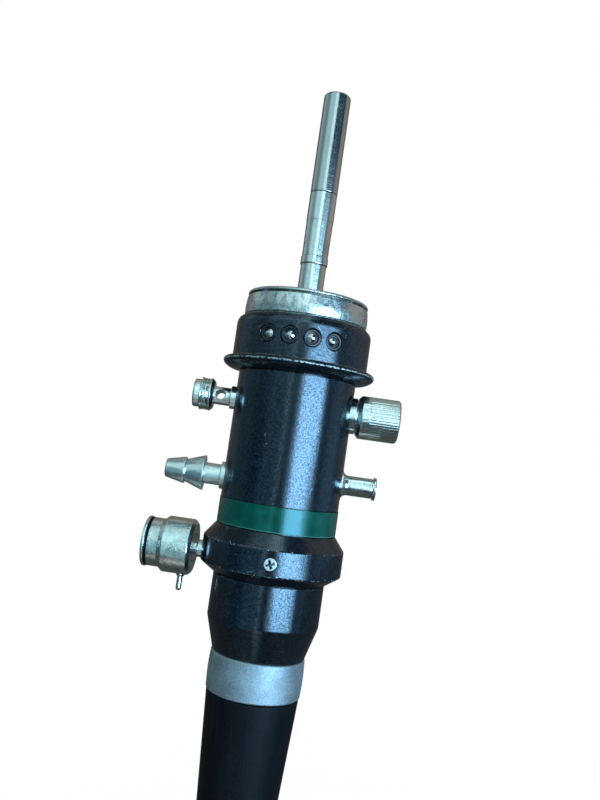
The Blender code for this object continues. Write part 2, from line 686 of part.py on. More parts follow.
def build_rear(barrel):
    """The collar with its screws, the rear housing and the O-ring between them."""
    collar = turned("collar", [
        (COLLAR_BORE_R, COLLAR_TOP),
        (COLLAR_BORE_R, COLLAR_LEDGE),
        (BARREL_BORE_R, COLLAR_LEDGE),
        (BARREL_BORE_R, COLLAR_END),
        (HOUSING_R + GAP, COLLAR_END),
        (COLLAR_R, COLLAR_LAND_END),
        (COLLAR_R, COLLAR_LAND_TOP),
        (STRIPE_R, COLLAR_TOP),
    ], "black_coat", LARGE)

    groove_top = COLLAR_LEDGE - FIT
    groove_base = groove_top - O_RING_T - 2 * FIT
    groove_r = HOUSING_SPIGOT_R - O_RING_T
    housing = turned("rear_housing", [
        (HOUSING_SPIGOT_R - HOUSING_WALL, HOUSING_SPIGOT_TOP),
        (HOUSING_SPIGOT_R - HOUSING_WALL, HOUSING_LAND_END),
        (HOUSING_TAIL_BORE_R, HOUSING_END),
        (HOUSING_TAIL_BORE_R, HOUSING_TAIL_END),
        (HOUSING_TAIL_R, HOUSING_TAIL_END),
        (HOUSING_TAIL_R, HOUSING_END),
        (HOUSING_FOOT_R, HOUSING_END),
        (HOUSING_R, HOUSING_LAND_END),
        (HOUSING_R, HOUSING_TOP),
        (HOUSING_SPIGOT_R, HOUSING_TOP),
        (HOUSING_SPIGOT_R, groove_base),
        (groove_r, groove_base),
        (groove_r, groove_top),
        (HOUSING_SPIGOT_R, groove_top),
        (HOUSING_SPIGOT_R, HOUSING_SPIGOT_TOP),
    ], "black_coat", LARGE)
    build_o_ring("housing_o_ring", groove_r + FIT, O_RING_T, groove_base + FIT)

    head_top = COLLAR_R - SCREW_SUNK
    head_base = head_top - SCREW_HEAD_H
    screw_end = HOUSING_SPIGOT_R - SCREW_BITE
    for side, azimuth in (("front", 0), ("back", math.pi)):
        frame = add_frame(f"collar_screw_axis_{side}", SCREW_Z, azimuth)
        hole = cylinder(
            f"screw_hole_{side}", SCREW_SHANK_R + FIT, screw_end - GAP, COLLAR_R + GAP, TINY, frame,
        )
        seat = cylinder(
            f"screw_seat_{side}", SCREW_HEAD_R + FIT, head_base - FIT,
            COLLAR_R + SCREW_HEAD_H, SMALL, frame,
        )
        for piece in (collar, barrel, housing):
            combine(piece, hole)
        combine(collar, seat)
        turned(f"collar_screw_{side}", [
            (0, screw_end),
            (SCREW_SHANK_R, screw_end),
            (SCREW_SHANK_R, head_base),
            (SCREW_HEAD_R, head_base),
            (SCREW_HEAD_R, head_top - 0.3 * SCREW_HEAD_H),
            (0.75 * SCREW_HEAD_R, head_top),
            (0, head_top),
        ], "nickel", TINY, frame)
    return collar, housing


def build_tail():
    """The silver ring nut, the boot and the clamp that holds the cord's end."""
    nut_bore_r = HOUSING_TAIL_R + GAP
    middle = (RING_NUT_TOP + RING_NUT_END) / 2
    turned("ring_nut", [
        (nut_bore_r, RING_NUT_END),
        (RING_NUT_END_R - RING_NUT_CHAMFER, RING_NUT_END),
        (RING_NUT_END_R, RING_NUT_END + RING_NUT_CHAMFER),
        (RING_NUT_END_R + RING_NUT_CROWN, middle),
        (RING_NUT_END_R, RING_NUT_TOP - RING_NUT_CHAMFER),
        (RING_NUT_END_R - RING_NUT_CHAMFER, RING_NUT_TOP),
        (nut_bore_r, RING_NUT_TOP),
    ], "satin_silver", LARGE)

    turned("boot", [
        (BOOT_BORE_R, BOOT_END),
        (BOOT_END_R - BOOT_END_ROUND, BOOT_END),
        (BOOT_END_R, BOOT_END + BOOT_END_ROUND),
        (BOOT_TOP_R, BOOT_TOP),
        (HOUSING_TAIL_R, BOOT_TOP),
        (HOUSING_TAIL_R, HOUSING_TAIL_END - GAP),
        (BOOT_BORE_R, HOUSING_TAIL_END - GAP),
    ], "black_rubber", LARGE)

    clamp_r = HOUSING_TAIL_BORE_R - GAP
    clamp_base = HOUSING_TAIL_END + GAP
    turned("cord_clamp", [
        (clamp_r - CLAMP_WALL, clamp_base),
        (clamp_r, clamp_base),
        (clamp_r, clamp_base + CLAMP_H - CLAMP_NOSE_H),
        (clamp_r - CLAMP_WALL / 2, clamp_base + CLAMP_H),
        (clamp_r - CLAMP_WALL, clamp_base + CLAMP_H),
    ], "aluminium", MEDIUM)


def build_frame_rods(bulkhead_holes):
    """The rods and the bulkhead that tie the front plate to the rear."""
    rod_top = FRONT_PLATE_BASE - GAP
    rod_base = BULKHEAD_TOP + GAP
    circle_r = BARREL_BORE_R - ROD_IN
    for number in range(ROD_COUNT):
        turn = math.radians(90) + 2 * math.pi * number / ROD_COUNT
        place = (circle_r * math.cos(turn), circle_r * math.sin(turn), 0)
        cylinder(
            f"frame_rod_{number + 1}", ROD_R, rod_base, rod_top, TINY, location=place,
            finish="aluminium",
        )
    bulkhead_r = BARREL_BORE_R - GAP
    bulkhead = turned("rear_bulkhead", [
        (BUNDLE_BORE_R, BULKHEAD_BASE),
        (bulkhead_r, BULKHEAD_BASE),
        (bulkhead_r, BULKHEAD_TOP),
        (BUNDLE_BORE_R, BULKHEAD_TOP),
    ], "aluminium", MEDIUM)
    for number, x in enumerate(bulkhead_holes):
        hole = cylinder(
            f"pipe_hole_{number + 1}", PIPE_R + GAP, BULKHEAD_BASE - BULKHEAD_H,
            BULKHEAD_TOP + BULKHEAD_H, TINY, location=(x, 0, 0),
        )
        combine(bulkhead, hole)


def build_wall_fitting(name, outline, shank_r, bore_r, frame, barrel, segments=MEDIUM):
    """A turned fitting whose foot is shaped to the barrel and whose shank passes the wall.

    The outline runs from the foot outwards, as (radius, height over the barrel).
    """
    root = BARREL_R - 2 * GAP - (BARREL_R - math.sqrt(BARREL_R ** 2 - outline[0][0] ** 2))
    placed = [(radius, BARREL_R + out) for radius, out in outline]
    points = [(0, root), (outline[0][0], root), *placed, (0, placed[-1][1])]
    fitting = turned(name, points, "nickel", segments, frame)
    saddle = cylinder(
        f"{name}_saddle", BARREL_R + FIT, BARREL_END, -BARREL_END, LARGE,
    )
    combine(fitting, saddle)
    flats = 2 * (shank_r + NUT_WALL)
    corner_r = flats / 2 / math.cos(math.radians(30))
    flat_bore_r = BARREL_BORE_R * math.cos(math.pi / LARGE)
    nut_end = math.sqrt(flat_bore_r ** 2 - corner_r ** 2) - GAP
    nut_start = nut_end - NUT_H
    inner_end = nut_start - SHANK_SPARE
    hexagon_nut(f"{name}_nut", flats, shank_r + GAP, nut_start, nut_end, frame)

    shank = cylinder(f"{name}_shank", shank_r, inner_end, placed[0][1], SMALL, frame)
    combine(fitting, shank, "UNION")
    if bore_r:
        bore = cylinder(
            f"{name}_bore", bore_r, inner_end - GAP, placed[-1][1] + GAP, SMALL, frame,
        )
        combine(fitting, bore)
    hole = cylinder(
        f"{name}_wall_hole", shank_r + GAP, nut_start, BARREL_R + GAP, TINY, frame,
    )
    combine(barrel, hole)
    return fitting, inner_end


def build_pipe(name, frame_side, height, fitting_end):
    """An inner pipe that leaves a fitting, bends down and passes the bulkhead."""
    down_x = fitting_end - GAP - PIPE_BEND_R
    bend = [
        Vector((
            down_x + PIPE_BEND_R * (1 - math.sin(turn)), 0,
            height - PIPE_BEND_R * (1 - math.cos(turn)),
        ))
        for turn in (math.radians(angle) for angle in (0, 22.5, 45, 67.5, 90))
    ]
    path = [*bend, Vector((down_x, 0, BULKHEAD_BASE - PIPE_TAIL))]
    path = [Vector((frame_side * point.x, point.y, point.z)) for point in path]
    outer = swept_rings(path, PIPE_R, SWEPT)
    inner = swept_rings(path, PIPE_BORE_R, SWEPT)
    lofted(name, [*outer, *reversed(inner)], "nickel", closed=True)
    return frame_side * down_x


def build_terminal(barrel):
    """The earth terminal post: boss, neck with a cross hole, threaded head and nose."""
    frame = add_frame("terminal_axis", -TERMINAL_DROP, math.radians(-90))
    shoulder = TERMINAL_THREAD_R - TERMINAL_NECK_R
    post, _ = build_wall_fitting("terminal_post", [
        (TERMINAL_BOSS_R, TERMINAL_BOSS_OUT),
        (TERMINAL_NECK_R, TERMINAL_BOSS_OUT + GAP),
        (TERMINAL_NECK_R, TERMINAL_NECK_OUT),
        (TERMINAL_THREAD_R - 0.4 * shoulder, TERMINAL_NECK_OUT),
        (TERMINAL_THREAD_R, TERMINAL_NECK_OUT + 0.4 * shoulder),
        (TERMINAL_THREAD_R, TERMINAL_THREAD_OUT),
        (TERMINAL_NOSE_R, TERMINAL_THREAD_OUT + GAP),
        (TERMINAL_NOSE_R, TERMINAL_OUT - GAP),
        (TERMINAL_NOSE_R - GAP, TERMINAL_OUT),
    ], TERMINAL_SHANK_R, None, frame, barrel)
    hole = cylinder("terminal_cross_hole", TERMINAL_HOLE_R, -CAP_R, CAP_R, SMALL)
    hole.rotation_euler = (math.radians(90) - TERMINAL_HOLE_TURN, 0, 0)
    hole.location = (-(BARREL_R + TERMINAL_HOLE_OUT), 0, -TERMINAL_DROP)
    combine(post, hole)


def build_nipple(barrel):
    """The suction nipple with its two barbs."""
    frame = add_frame("nipple_axis", -NIPPLE_DROP, math.radians(-90))
    _, inner_end = build_wall_fitting("suction_nipple", [
        (NIPPLE_FLANGE_R, NIPPLE_FLANGE_OUT),
        (NIPPLE_NECK_R, NIPPLE_FLANGE_OUT),
        (NIPPLE_NECK_R, NIPPLE_REAR_BARB_OUT),
        (NIPPLE_REAR_BARB_R, NIPPLE_REAR_BARB_OUT),
        (NIPPLE_REAR_BARB_R, NIPPLE_REAR_BARB_OUT + BARB_LAND),
        (NIPPLE_WAIST_R, NIPPLE_FRONT_BARB_OUT),
        (NIPPLE_FRONT_BARB_R, NIPPLE_FRONT_BARB_OUT),
        (NIPPLE_FRONT_BARB_R, NIPPLE_FRONT_BARB_OUT + BARB_LAND),
        (NIPPLE_TIP_R, NIPPLE_OUT - BARB_LAND),
        (NIPPLE_TIP_R - BARB_LAND, NIPPLE_OUT),
    ], NIPPLE_SHANK_R, NIPPLE_BORE_R, frame, barrel)
    return build_pipe("suction_pipe", -1, -NIPPLE_DROP, inner_end)


def build_air_tube(barrel):
    """The plain air tube with a flared foot and a lip behind a groove at its end."""
    frame = add_frame("air_axis", -AIR_DROP, math.radians(90))
    lip_base = AIR_OUT - AIR_LIP_H
    _, inner_end = build_wall_fitting("air_tube", [
        (AIR_FOOT_R, 0),
        (AIR_TUBE_R + 0.35 * (AIR_FOOT_R - AIR_TUBE_R), 0.4 * AIR_FOOT_OUT),
        (AIR_TUBE_R, AIR_FOOT_OUT),
        (AIR_TUBE_R, lip_base - AIR_GROOVE_H),
        (AIR_GROOVE_R, lip_base - AIR_GROOVE_H),
        (AIR_GROOVE_R, lip_base),
        (AIR_LIP_R, lip_base),
        (AIR_LIP_R, AIR_OUT - FIT),
        (AIR_LIP_R - FIT, AIR_OUT),
    ], AIR_SHANK_R, AIR_BORE_R, frame, barrel)
    return build_pipe("air_pipe", 1, -AIR_DROP, inner_end)


def build_port(barrel):
    """The threaded port stub, its captive gasket and the knurled cap that screws on it."""
    frame = add_frame("port_axis", -PORT_DROP, math.radians(90))
    build_wall_fitting("port_stub", [
        (PORT_FLANGE_R, PORT_FLANGE_OUT),
        (PORT_STUB_R, PORT_FLANGE_OUT),
        (PORT_STUB_R, PORT_STUB_OUT - GAP),
        (PORT_STUB_R - GAP, PORT_STUB_OUT),
    ], PORT_SHANK_R, PORT_BORE_R, frame, barrel)

    gasket_base = BARREL_R + PORT_STUB_OUT + GAP
    turned("cap_gasket", [
        (GASKET_HOLE_R, gasket_base),
        (PORT_STUB_R, gasket_base),
        (PORT_STUB_R, gasket_base + GASKET_H),
        (GASKET_HOLE_R, gasket_base + GASKET_H),
    ], "black_rubber", SMALL, frame)

    count = 2 * CAP_FLUTES
    start = BARREL_R + PORT_FLANGE_OUT + GAP
    end = start + CAP_LENGTH
    bore_end = gasket_base + GASKET_H + GAP
    flute_start = start + CAP_CHAMFER_H + CAP_PLAIN_H
    end_r = CAP_R - CAP_END_CHAMFER

    def fluted(height):
        return ring_of_points(
            lambda i: CAP_R - CAP_FLUTE_DEPTH * (i % 2), height, count,
        )

    lofted("knurled_cap", [
        round_ring(PORT_STUB_R + GAP, bore_end, count),
        round_ring(PORT_STUB_R + GAP, start, count),
        round_ring(CAP_START_R, start, count),
        round_ring(CAP_R, start + CAP_CHAMFER_H, count),
        round_ring(CAP_R, flute_start, count),
        fluted(flute_start + GAP),
        fluted(end - CAP_END_CHAMFER),
        round_ring(end_r, end, count),
    ], "nickel", closed=False, parent=frame)


def build_vent(collar, barrel, housing):
    """The vent connector: neck, body, O-ring, rim, key pin and the sprung valve in it."""
    frame = add_frame("vent_axis", VENT_Z, math.radians(-90) - VENT_TURN)
    body_start = COLLAR_R + VENT_BODY_OUT
    plug_end = body_start + VENT_PLUG_H
    step = COLLAR_R + VENT_STEP_OUT
    nose_end = COLLAR_R + VENT_NOSE_OUT
    land_end = nose_end + VENT_LAND_H
    mouth_floor = land_end - VENT_MOUTH_DEPTH + GAP
    web_base = mouth_floor - VENT_WEB_H
    shank_start = COLLAR_BORE_R + GAP

    turned("vent_neck", [
        (VENT_GUIDE_R, shank_start),
        (VENT_SHANK_R, shank_start),
        (VENT_SHANK_R, COLLAR_R + VENT_THROAT_OUT),
        (VENT_THROAT_R, COLLAR_R + VENT_THROAT_OUT),
        (VENT_THROAT_R, body_start),
        (VENT_CHAMBER_R - GAP, body_start),
        (VENT_CHAMBER_R - GAP, plug_end),
        (VENT_GUIDE_R, plug_end),
    ], "nickel", MEDIUM, frame)
    collar_hole = cylinder(
        "vent_collar_hole", VENT_SHANK_R + FIT, COLLAR_BORE_R - GAP, COLLAR_R + GAP, SMALL, frame,
    )
    combine(collar, collar_hole)
    vent_hole = cylinder(
        "vent_inner_hole", VENT_GUIDE_R + FIT, HOUSING_SPIGOT_R - HOUSING_WALL - GAP,
        COLLAR_BORE_R, TINY, frame,
    )
    combine(barrel, vent_hole)
    combine(housing, vent_hole)

    body = turned("vent_body", [
        (VENT_CHAMBER_R, body_start),
        (VENT_BODY_R - VENT_BACK_CHAMFER, body_start),
        (VENT_BODY_R, body_start + VENT_BACK_CHAMFER),
        (VENT_BODY_R, step),
        (VENT_NOSE_R, step + VENT_STEP_H),
        (VENT_NOSE_R, nose_end),
        (VENT_LAND_R, nose_end),
        (VENT_LAND_R, land_end),
        (VENT_MOUTH_R, land_end),
        (VENT_MOUTH_R, mouth_floor),
        (VENT_SEAT_R, mouth_floor),
        (VENT_SEAT_R, web_base),
        (VENT_CHAMBER_R, web_base),
    ], "nickel", MEDIUM, frame)

    seal_start = nose_end + FIT
    rim_start = seal_start + VENT_SEAL_H + FIT
    rim_end = rim_start + VENT_RIM_H
    turned("vent_o_ring", [
        (VENT_LAND_R + FIT, seal_start),
        (VENT_NOSE_R, seal_start),
        (VENT_NOSE_R, seal_start + VENT_SEAL_H),
        (VENT_LAND_R + FIT, seal_start + VENT_SEAL_H),
    ], "black_rubber", MEDIUM, frame)
    turned("vent_rim", [
        (VENT_LAND_R + FIT, rim_start),
        (VENT_RIM_R, rim_start),
        (VENT_RIM_R, rim_end - VENT_RIM_ROUND),
        (VENT_RIM_R - VENT_RIM_ROUND, rim_end),
        (VENT_LAND_R + FIT, rim_end),
    ], "nickel", MEDIUM, frame)

    build_key_pin(body, frame)
    build_valve(frame, plug_end, web_base, mouth_floor)


def build_key_pin(body, frame):
    """The radial pin under the vent body that keys the mating plug."""
    axis = add_frame("key_pin_axis", 0)
    axis.parent = frame
    axis.location = (0, 0, COLLAR_R + KEY_PIN_OUT)
    axis.rotation_euler = (math.radians(90), 0, 0)
    hole = cylinder(
        "key_pin_hole", KEY_PIN_R + FIT, VENT_BODY_R - KEY_PIN_ROOT - GAP,
        VENT_BODY_R + GAP, TINY, axis,
    )
    combine(body, hole)
    end = VENT_BODY_R + KEY_PIN_LENGTH
    flare = VENT_BODY_R + FIT
    turned("key_pin", [
        (0, VENT_BODY_R - KEY_PIN_ROOT),
        (KEY_PIN_R, VENT_BODY_R - KEY_PIN_ROOT),
        (KEY_PIN_R, flare),
        (KEY_PIN_FLARE_R, flare),
        (KEY_PIN_R, flare + KEY_PIN_FLARE_H),
        (KEY_PIN_R, end - 0.6 * KEY_PIN_R),
        (0.55 * KEY_PIN_R, end),
        (0, end),
    ], "nickel", TINY, axis)


def build_valve(frame, plug_end, web_base, mouth_floor):
    """The vent valve: poppet, seal and the spring that closes it."""
    seal_top = web_base - GAP
    seal_base = seal_top - VALVE_SEAL_H
    head_top = seal_base - FIT
    head_base = head_top - POPPET_HEAD_H
    turned("vent_poppet", [
        (0, head_base - POPPET_TAIL_LENGTH),
        (POPPET_TAIL_R, head_base - POPPET_TAIL_LENGTH),
        (POPPET_TAIL_R, head_base),
        (POPPET_HEAD_R, head_base),
        (POPPET_HEAD_R, head_top),
        (POPPET_STEM_R, head_top),
        (POPPET_STEM_R, mouth_floor + POPPET_PROUD - GAP),
        (POPPET_STEM_R - GAP, mouth_floor + POPPET_PROUD),
        (0, mouth_floor + POPPET_PROUD),
    ], "nickel", SMALL, frame)
    turned("vent_valve_seal", [
        (POPPET_STEM_R + FIT, seal_base),
        (POPPET_HEAD_R, seal_base),
        (POPPET_HEAD_R, seal_top),
        (POPPET_STEM_R + FIT, seal_top),
    ], "black_rubber", SMALL, frame)

    low = plug_end + GAP + SPRING_WIRE_R
    high = head_base - GAP - SPRING_WIRE_R
    steps = SPRING_TURNS * TINY
    path = [
        Vector((
            SPRING_R * math.cos(2 * math.pi * i / TINY),
            SPRING_R * math.sin(2 * math.pi * i / TINY),
            low + (high - low) * i / steps,
        ))
        for i in range(steps + 1)
    ]
    rings = swept_rings(path, SPRING_WIRE_R, 5)
    lofted("vent_spring", rings, "spring_steel", closed=False, parent=frame)


def main():
    """Clears the scene and builds every piece of the plug."""
    for obj in list(bpy.data.objects):
        bpy.data.objects.remove(obj, do_unlink=True)
    build_prong()
    build_front()
    build_contact_ring()
    build_flange()
    barrel = build_barrel()
    collar, housing = build_rear(barrel)
    build_tail()
    build_terminal(barrel)
    build_port(barrel)
    pipe_places = [build_nipple(barrel), build_air_tube(barrel)]
    build_frame_rods(pipe_places)
    build_vent(collar, barrel, housing)


main()
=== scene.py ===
"""Visual model of the light source plug of a flexible endoscope.

The plug stands upright on its boot. Its axis is Z, the light guide prong points up, the
contacts face -Y, and the origin lies in the plane of the mounting flange's front face.
Fields and outlines hold millimetres; meshes and materials hold metres.
"""

import logging
import math
from dataclasses import dataclass, field, replace
from enum import Enum
from typing import Iterable, Sequence, Union

import bmesh
import bpy
from mathutils import Euler, Matrix, Vector


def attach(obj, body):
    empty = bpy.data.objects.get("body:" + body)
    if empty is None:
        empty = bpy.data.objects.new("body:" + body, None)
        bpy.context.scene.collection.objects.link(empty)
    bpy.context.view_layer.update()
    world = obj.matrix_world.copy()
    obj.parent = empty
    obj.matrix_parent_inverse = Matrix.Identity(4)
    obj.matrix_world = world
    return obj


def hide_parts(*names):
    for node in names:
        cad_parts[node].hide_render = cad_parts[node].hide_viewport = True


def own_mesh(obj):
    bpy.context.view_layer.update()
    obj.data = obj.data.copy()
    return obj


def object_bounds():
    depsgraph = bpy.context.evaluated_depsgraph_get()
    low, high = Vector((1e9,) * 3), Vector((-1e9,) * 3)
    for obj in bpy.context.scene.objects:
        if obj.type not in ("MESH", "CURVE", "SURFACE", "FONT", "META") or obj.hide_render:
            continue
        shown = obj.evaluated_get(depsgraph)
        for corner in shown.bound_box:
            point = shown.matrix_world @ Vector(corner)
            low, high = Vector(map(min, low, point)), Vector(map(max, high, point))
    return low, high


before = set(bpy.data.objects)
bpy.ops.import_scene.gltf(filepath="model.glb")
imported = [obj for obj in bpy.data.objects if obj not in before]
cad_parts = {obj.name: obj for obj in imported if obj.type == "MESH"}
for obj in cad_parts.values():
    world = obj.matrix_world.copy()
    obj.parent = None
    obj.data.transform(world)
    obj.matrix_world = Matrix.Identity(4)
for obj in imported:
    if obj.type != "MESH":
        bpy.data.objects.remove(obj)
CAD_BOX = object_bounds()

MM = 0.001
# Facets round the plug itself, round a fitting and round a small piece
FINE = 128
MIDDLE = 72
SMALL = 40
# Points nearer to each other than this are one point
WELD = 0.0005 * MM
SHARP_ANGLE = math.radians(30)
WHITE = (1.0, 1.0, 1.0)

log = logging.getLogger("plug")

Colour = tuple[float, float, float]
Number = Union["Value", float]


class Body(Enum):
    """The bodies that pieces ride on."""

    PLUG = "plug"
    VALVE = "valve"
    GASKET = "gasket"
    CAP = "cap"


class Carving(Enum):
    """What a Boolean step does with its shape."""

    CUT = "DIFFERENCE"
    JOIN = "UNION"


class Slot(Enum):
    """The record's material slots."""

    POLISHED_STEEL = "polished_steel"
    NICKEL = "nickel_plate"
    BLACK_COAT = "black_coat"
    SATIN_SILVER = "satin_silver"
    GREEN_ENAMEL = "green_enamel"
    BLACK_RUBBER = "black_rubber"
    BLACK_PLASTIC = "black_plastic"
    CLEAR_GLASS = "clear_glass"
    GLASS_FIBRE = "glass_fibre"
    ALUMINIUM = "inner_aluminium"
    SPRING_STEEL = "spring_steel"


@dataclass(frozen=True)
class Axis:
    """A line that turned pieces spin on, starting on the plug's axis.

    Attributes:
        height: where the line starts on the plug's axis, in millimetres.
        azimuth: its heading in degrees from -Y towards +X, or None for straight up.
    """

    height: float = 0.0
    azimuth: float | None = None

    def euler(self) -> Euler:
        """The turn from straight up to the heading."""
        if self.azimuth is None:
            return Euler((0, 0, 0))
        return Euler((math.radians(90), 0, math.radians(self.azimuth)))

    def matrix(self) -> Matrix:
        """The line's frame, its Z along the line, in metres."""
        return Matrix.Translation((0, 0, self.height * MM)) @ self.euler().to_matrix().to_4x4()


UPRIGHT = Axis()


class Value:
    """A number on a node's socket; an expression of values adds the Math nodes for it."""

    def __init__(self, graph: "Graph", socket: bpy.types.NodeSocket) -> None:
        """Wraps a socket of a graph."""
        self.graph = graph
        self.socket = socket

    def maths(self, operation: str, *numbers: Number) -> "Value":
        """Adds one Math node.

        Args:
            operation: the node's operation.
            numbers: its inputs in order.

        Returns:
            The node's result.
        """
        made = self.graph.node("ShaderNodeMath", {"operation": operation}, dict(enumerate(numbers)))
        return Value(self.graph, made.outputs[0])

    def __add__(self, other: Number) -> "Value":
        """self + other."""
        return self.maths("ADD", self, other)

    def __radd__(self, other: Number) -> "Value":
        """other + self."""
        return self.maths("ADD", other, self)

    def __sub__(self, other: Number) -> "Value":
        """self - other."""
        return self.maths("SUBTRACT", self, other)

    def __rsub__(self, other: Number) -> "Value":
        """other - self."""
        return self.maths("SUBTRACT", other, self)

    def __mul__(self, other: Number) -> "Value":
        """self * other."""
        return self.maths("MULTIPLY", self, other)

    def __rmul__(self, other: Number) -> "Value":
        """other * self."""
        return self.maths("MULTIPLY", other, self)

    def __truediv__(self, other: Number) -> "Value":
        """self / other."""
        return self.maths("DIVIDE", self, other)

    def __pow__(self, other: Number) -> "Value":
        """self ** other."""
        return self.maths("POWER", self, other)

    def __abs__(self) -> "Value":
        """abs(self)."""
        return self.maths("ABSOLUTE", self)

    def most(self, other: Number) -> "Value":
        """The larger of two values."""
        return self.maths("MAXIMUM", self, other)

    def step(self, low: float, high: float) -> "Value":
        """A smooth step.

        Args:
            low: where the step starts.
            high: where it ends.

        Returns:
            0 below low, 1 above high, and a smooth rise between.
        """
        made = self.graph.node(
            "ShaderNodeMapRange", {"interpolation_type": "SMOOTHSTEP"},
            {"Value": self, "From Min": low, "From Max": high},
        )
        return Value(self.graph, made.outputs["Result"])


class Graph:
    """A node tree, and the nodes that finishes and the studio add to it."""

    def __init__(self, tree: bpy.types.NodeTree) -> None:
        """Takes over a tree, which keeps the nodes it has."""
        self.tree = tree

    def node(self, kind: str, settings: dict | None = None,
             inputs: dict | None = None) -> bpy.types.Node:
        """Adds any node.

        Args:
            kind: the node's type.
            settings: its own settings, which are set first.
            inputs: values or links for its sockets, by name or number.

        Returns:
            The new node.
        """
        made = self.tree.nodes.new(kind)
        for name, setting in (settings or {}).items():
            setattr(made, name, setting)
        for key, given in (inputs or {}).items():
            self.feed(made.inputs[key], given)
        return made

    def feed(self, socket: bpy.types.NodeSocket, given: object) -> None:
        """Links a value or a socket into a socket, or sets its constant."""
        if isinstance(given, Value):
            given = given.socket
        if isinstance(given, bpy.types.NodeSocket):
            self.tree.links.new(given, socket)
        elif isinstance(given, tuple) and len(given) == 3 and socket.type == "RGBA":
            socket.default_value = (*given, 1.0)
        else:
            socket.default_value = given

    def value(self, node: bpy.types.Node, output: str | int = 0) -> Value:
        """One output of a node as a value."""
        return Value(self, node.outputs[output])

    def blend(self, share: Number, first: object, second: object) -> bpy.types.NodeSocket:
        """Mixes two colours.

        Args:
            share: how much of the second one there is.
            first: a colour or its socket.
            second: a colour or its socket.

        Returns:
            The mixed colour's socket.
        """
        made = self.node("ShaderNodeMix", {"data_type": "RGBA", "clamp_factor": True})
        self.feed(made.inputs[0], share)
        self.feed(made.inputs[6], first)
        self.feed(made.inputs[7], second)
        return made.outputs[2]

    def rays(self) -> tuple[Value, Value]:
        """Whether a ray is the camera's own, and whether metal or glass passed it on."""
        path = self.node("ShaderNodeLightPath")
        passed_on = self.value(path, "Is Glossy Ray") + self.value(path, "Is Transmission Ray")
        return self.value(path, "Is Camera Ray"), passed_on


@dataclass(frozen=True)
class RingMark:
    """A ring round an axis, used for worn edges, lighter lips and rings of painted shade.

    Attributes:
        radius: its radius.
        height: its height on the axis.
        width: the distance from it at which the mark ends.
        share: how strong it is, from 0 to 1.
    """

    radius: float
    height: float
    width: float = 0.5
    share: float = 0.3


@dataclass(frozen=True)
class Scratch:
    """A thin straight scratch on a round face.

    Attributes:
        azimuth: its middle's heading in degrees from -Y towards +X.
        height: its middle's height.
        length: its length.
        lean: its turn from upright in degrees.
        width: its width.
    """

    azimuth: float
    height: float
    length: float
    lean: float
    width: float = 0.07


def scaled(colour: Colour, factor: float, lift: float = 0.0) -> Colour:
    """A colour times a factor, and a little lighter by a lift."""
    return tuple(factor * part + lift for part in colour)


